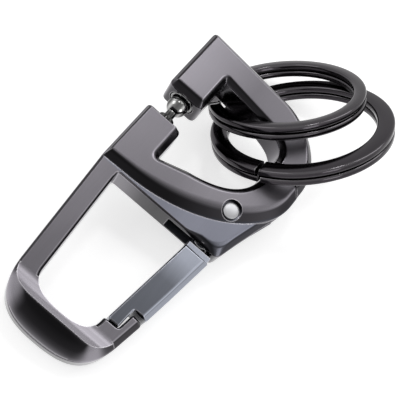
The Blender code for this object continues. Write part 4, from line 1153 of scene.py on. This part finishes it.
# Painted highlights and shade on the ball, and painted shade on its neck below the ball.
BALL_PAINTED_HIGHLIGHTS = ((0, 6), (12, 10), (24, 90), (34, 25), (50, 14), (66, 20), (80, 100), (90, 14), (100, 6))
BALL_SHADE_START = BLOCK_HEIGHT + 2.3
WIRE_REACH = 0.0004
# The rings' black nickel, with pale painted highlights along their edges.
BLACK, BLACK_HIGHLIGHT_COLOUR = (0.038, 0.034, 0.039), (0.4, 0.39, 0.4)
BLACK_NICKEL = bright_finish("black_nickel_wire", BLACK, 0.12, BLACK_HIGHLIGHT_COLOUR, reach=WIRE_REACH)
SATIN = bright_finish("satin_rivet_metal", (0.36, 0.36, 0.37), 0.4, (0.5, 0.5, 0.5))
BALL, BALL_HIGHLIGHT_COLOUR = (0.7, 0.7, 0.69), (0.6, 0.6, 0.6)
CHROME = bright_finish("polished_ball_metal", BALL, 0.07, BALL_HIGHLIGHT_COLOUR, BALL_PAINTED_HIGHLIGHTS, foot=BALL_SHADE_START)
SOCKET = bright_finish("dark_sleeve_metal", (0.26, 0.26, 0.26), 0.12, (0.75, 0.75, 0.75))

# %% [markdown]
# ## Hand each piece over
# Every piece rides on the body of the CAD node it stands for, takes that node's material slot, and hides it.

# %% Dress
DRESSED = (
    (frame_piece, "frame", "frame", "gunmetal", FRAME_METAL),
    (hook_piece, "loop_hook", "loop_hook", "gunmetal", HOOK_METAL),
    (gate_piece, "gate", "gate", "gate_gunmetal", GATE_METAL),
    (rivet_piece, "loop_rivet", "frame", "satin_steel", SATIN),
    (ball_piece, "ball_stud", "frame", "chrome", CHROME),
    (sleeve_piece, "catch_sleeve", "loop_hook", "chrome", SOCKET),
    (pin_piece, "gate_pin", "frame", "satin_steel", SATIN),
    (spring_piece, "gate_spring", "frame", "satin_steel", SATIN),
    (large_piece, "split_ring_large", "ring_large", "black_nickel", BLACK_NICKEL),
    (small_piece, "split_ring_small", "ring_small", "black_nickel", BLACK_NICKEL),
)
for piece, node, body, slot, finish in DRESSED:
    piece.data.materials.append(finish)
    for place in nodes[node].material_slots:
        place.material = finish
    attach(piece, body)
    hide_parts(node)
print("pieces dressed:", len(DRESSED))

# %% [markdown]
# ## Floor and light
# The floor and the sky are white to the camera and in reflections. For all other light the floor is a plain
# pale surface, so that it keeps the soft shadow, and the sky is a weak fill. Four soft lamps do the rest.

# %% Stage
FLOOR_SIZE = 3.0
FLOOR_COLOUR = (0.7, 0.7, 0.7, 1)
FLOOR_GLOW = 0.64
SKY_FILL = 0.45
WHITE = (1, 1, 1, 1)


def seen_by_eye(tree):
    """1 for camera, glossy and transmission rays."""
    path = add(tree, "ShaderNodeLightPath")
    seen = maths(tree, "MAXIMUM", path.outputs["Is Camera Ray"], path.outputs["Is Glossy Ray"])
    return maths(tree, "MAXIMUM", seen, path.outputs["Is Transmission Ray"])


def floor_finish():
    """A dull surface, plus a glow that only the camera and reflections see."""
    made = bpy.data.materials.new("pale_floor")
    made.use_nodes = True
    tree = made.node_tree
    tree.nodes.clear()
    plain = add(tree, "ShaderNodeBsdfDiffuse", {"Color": FLOOR_COLOUR})
    strength = product(tree, seen_by_eye(tree), FLOOR_GLOW)
    glow = add(tree, "ShaderNodeEmission", {"Color": WHITE, "Strength": strength})
    both = add(tree, "ShaderNodeAddShader", {0: plain.outputs[0], 1: glow.outputs[0]})
    tree.links.new(both.outputs[0], add(tree, "ShaderNodeOutputMaterial").inputs[0])
    return made


half = FLOOR_SIZE / 2
corners = [(-half, -half, 0), (half, -half, 0), (half, half, 0), (-half, half, 0)]
floor_mesh = bpy.data.meshes.new("floor")
floor_mesh.from_pydata(corners, [], [(0, 1, 2, 3)])
floor_mesh.materials.append(floor_finish())
floor = put_in_scene("floor", floor_mesh)

world = bpy.data.worlds.new("studio_sky")
scene.world = world
world.use_nodes = True
sky = world.node_tree.nodes["Background"]
sky.inputs["Color"].default_value = WHITE
level = ranged(world.node_tree, seen_by_eye(world.node_tree), 0.0, 1.0, SKY_FILL)
world.node_tree.links.new(level, sky.inputs["Strength"])
print("floor", FLOOR_SIZE, "m wide")

# %% Lamps
AIM = (LOOP_WIDTH / 2, 0, 0)
LAMPS = (
    ("back_softbox", (60, 330, 330), 260, 0.55),
    ("left_softbox", (-330, -40, 260), 220, 0.25),
    ("right_strip", (300, -120, 160), 120, 0.12),
    ("small_key", (-90, 170, 320), 60, 0.16),
)


def lamp(name, place, size, power):
    """A square soft lamp at a place in the drawing frame, in mm, aimed at the middle of the crossbar."""
    data = bpy.data.lights.new(name, "AREA")
    data.size, data.energy = size * MM, power
    made = put_in_scene(name, data)
    start, end = Vector(to_world(place)), Vector(to_world(AIM))
    made.location = start
    made.rotation_euler = (end - start).to_track_quat("-Z", "Y").to_euler()


for settings in LAMPS:
    lamp(*settings)
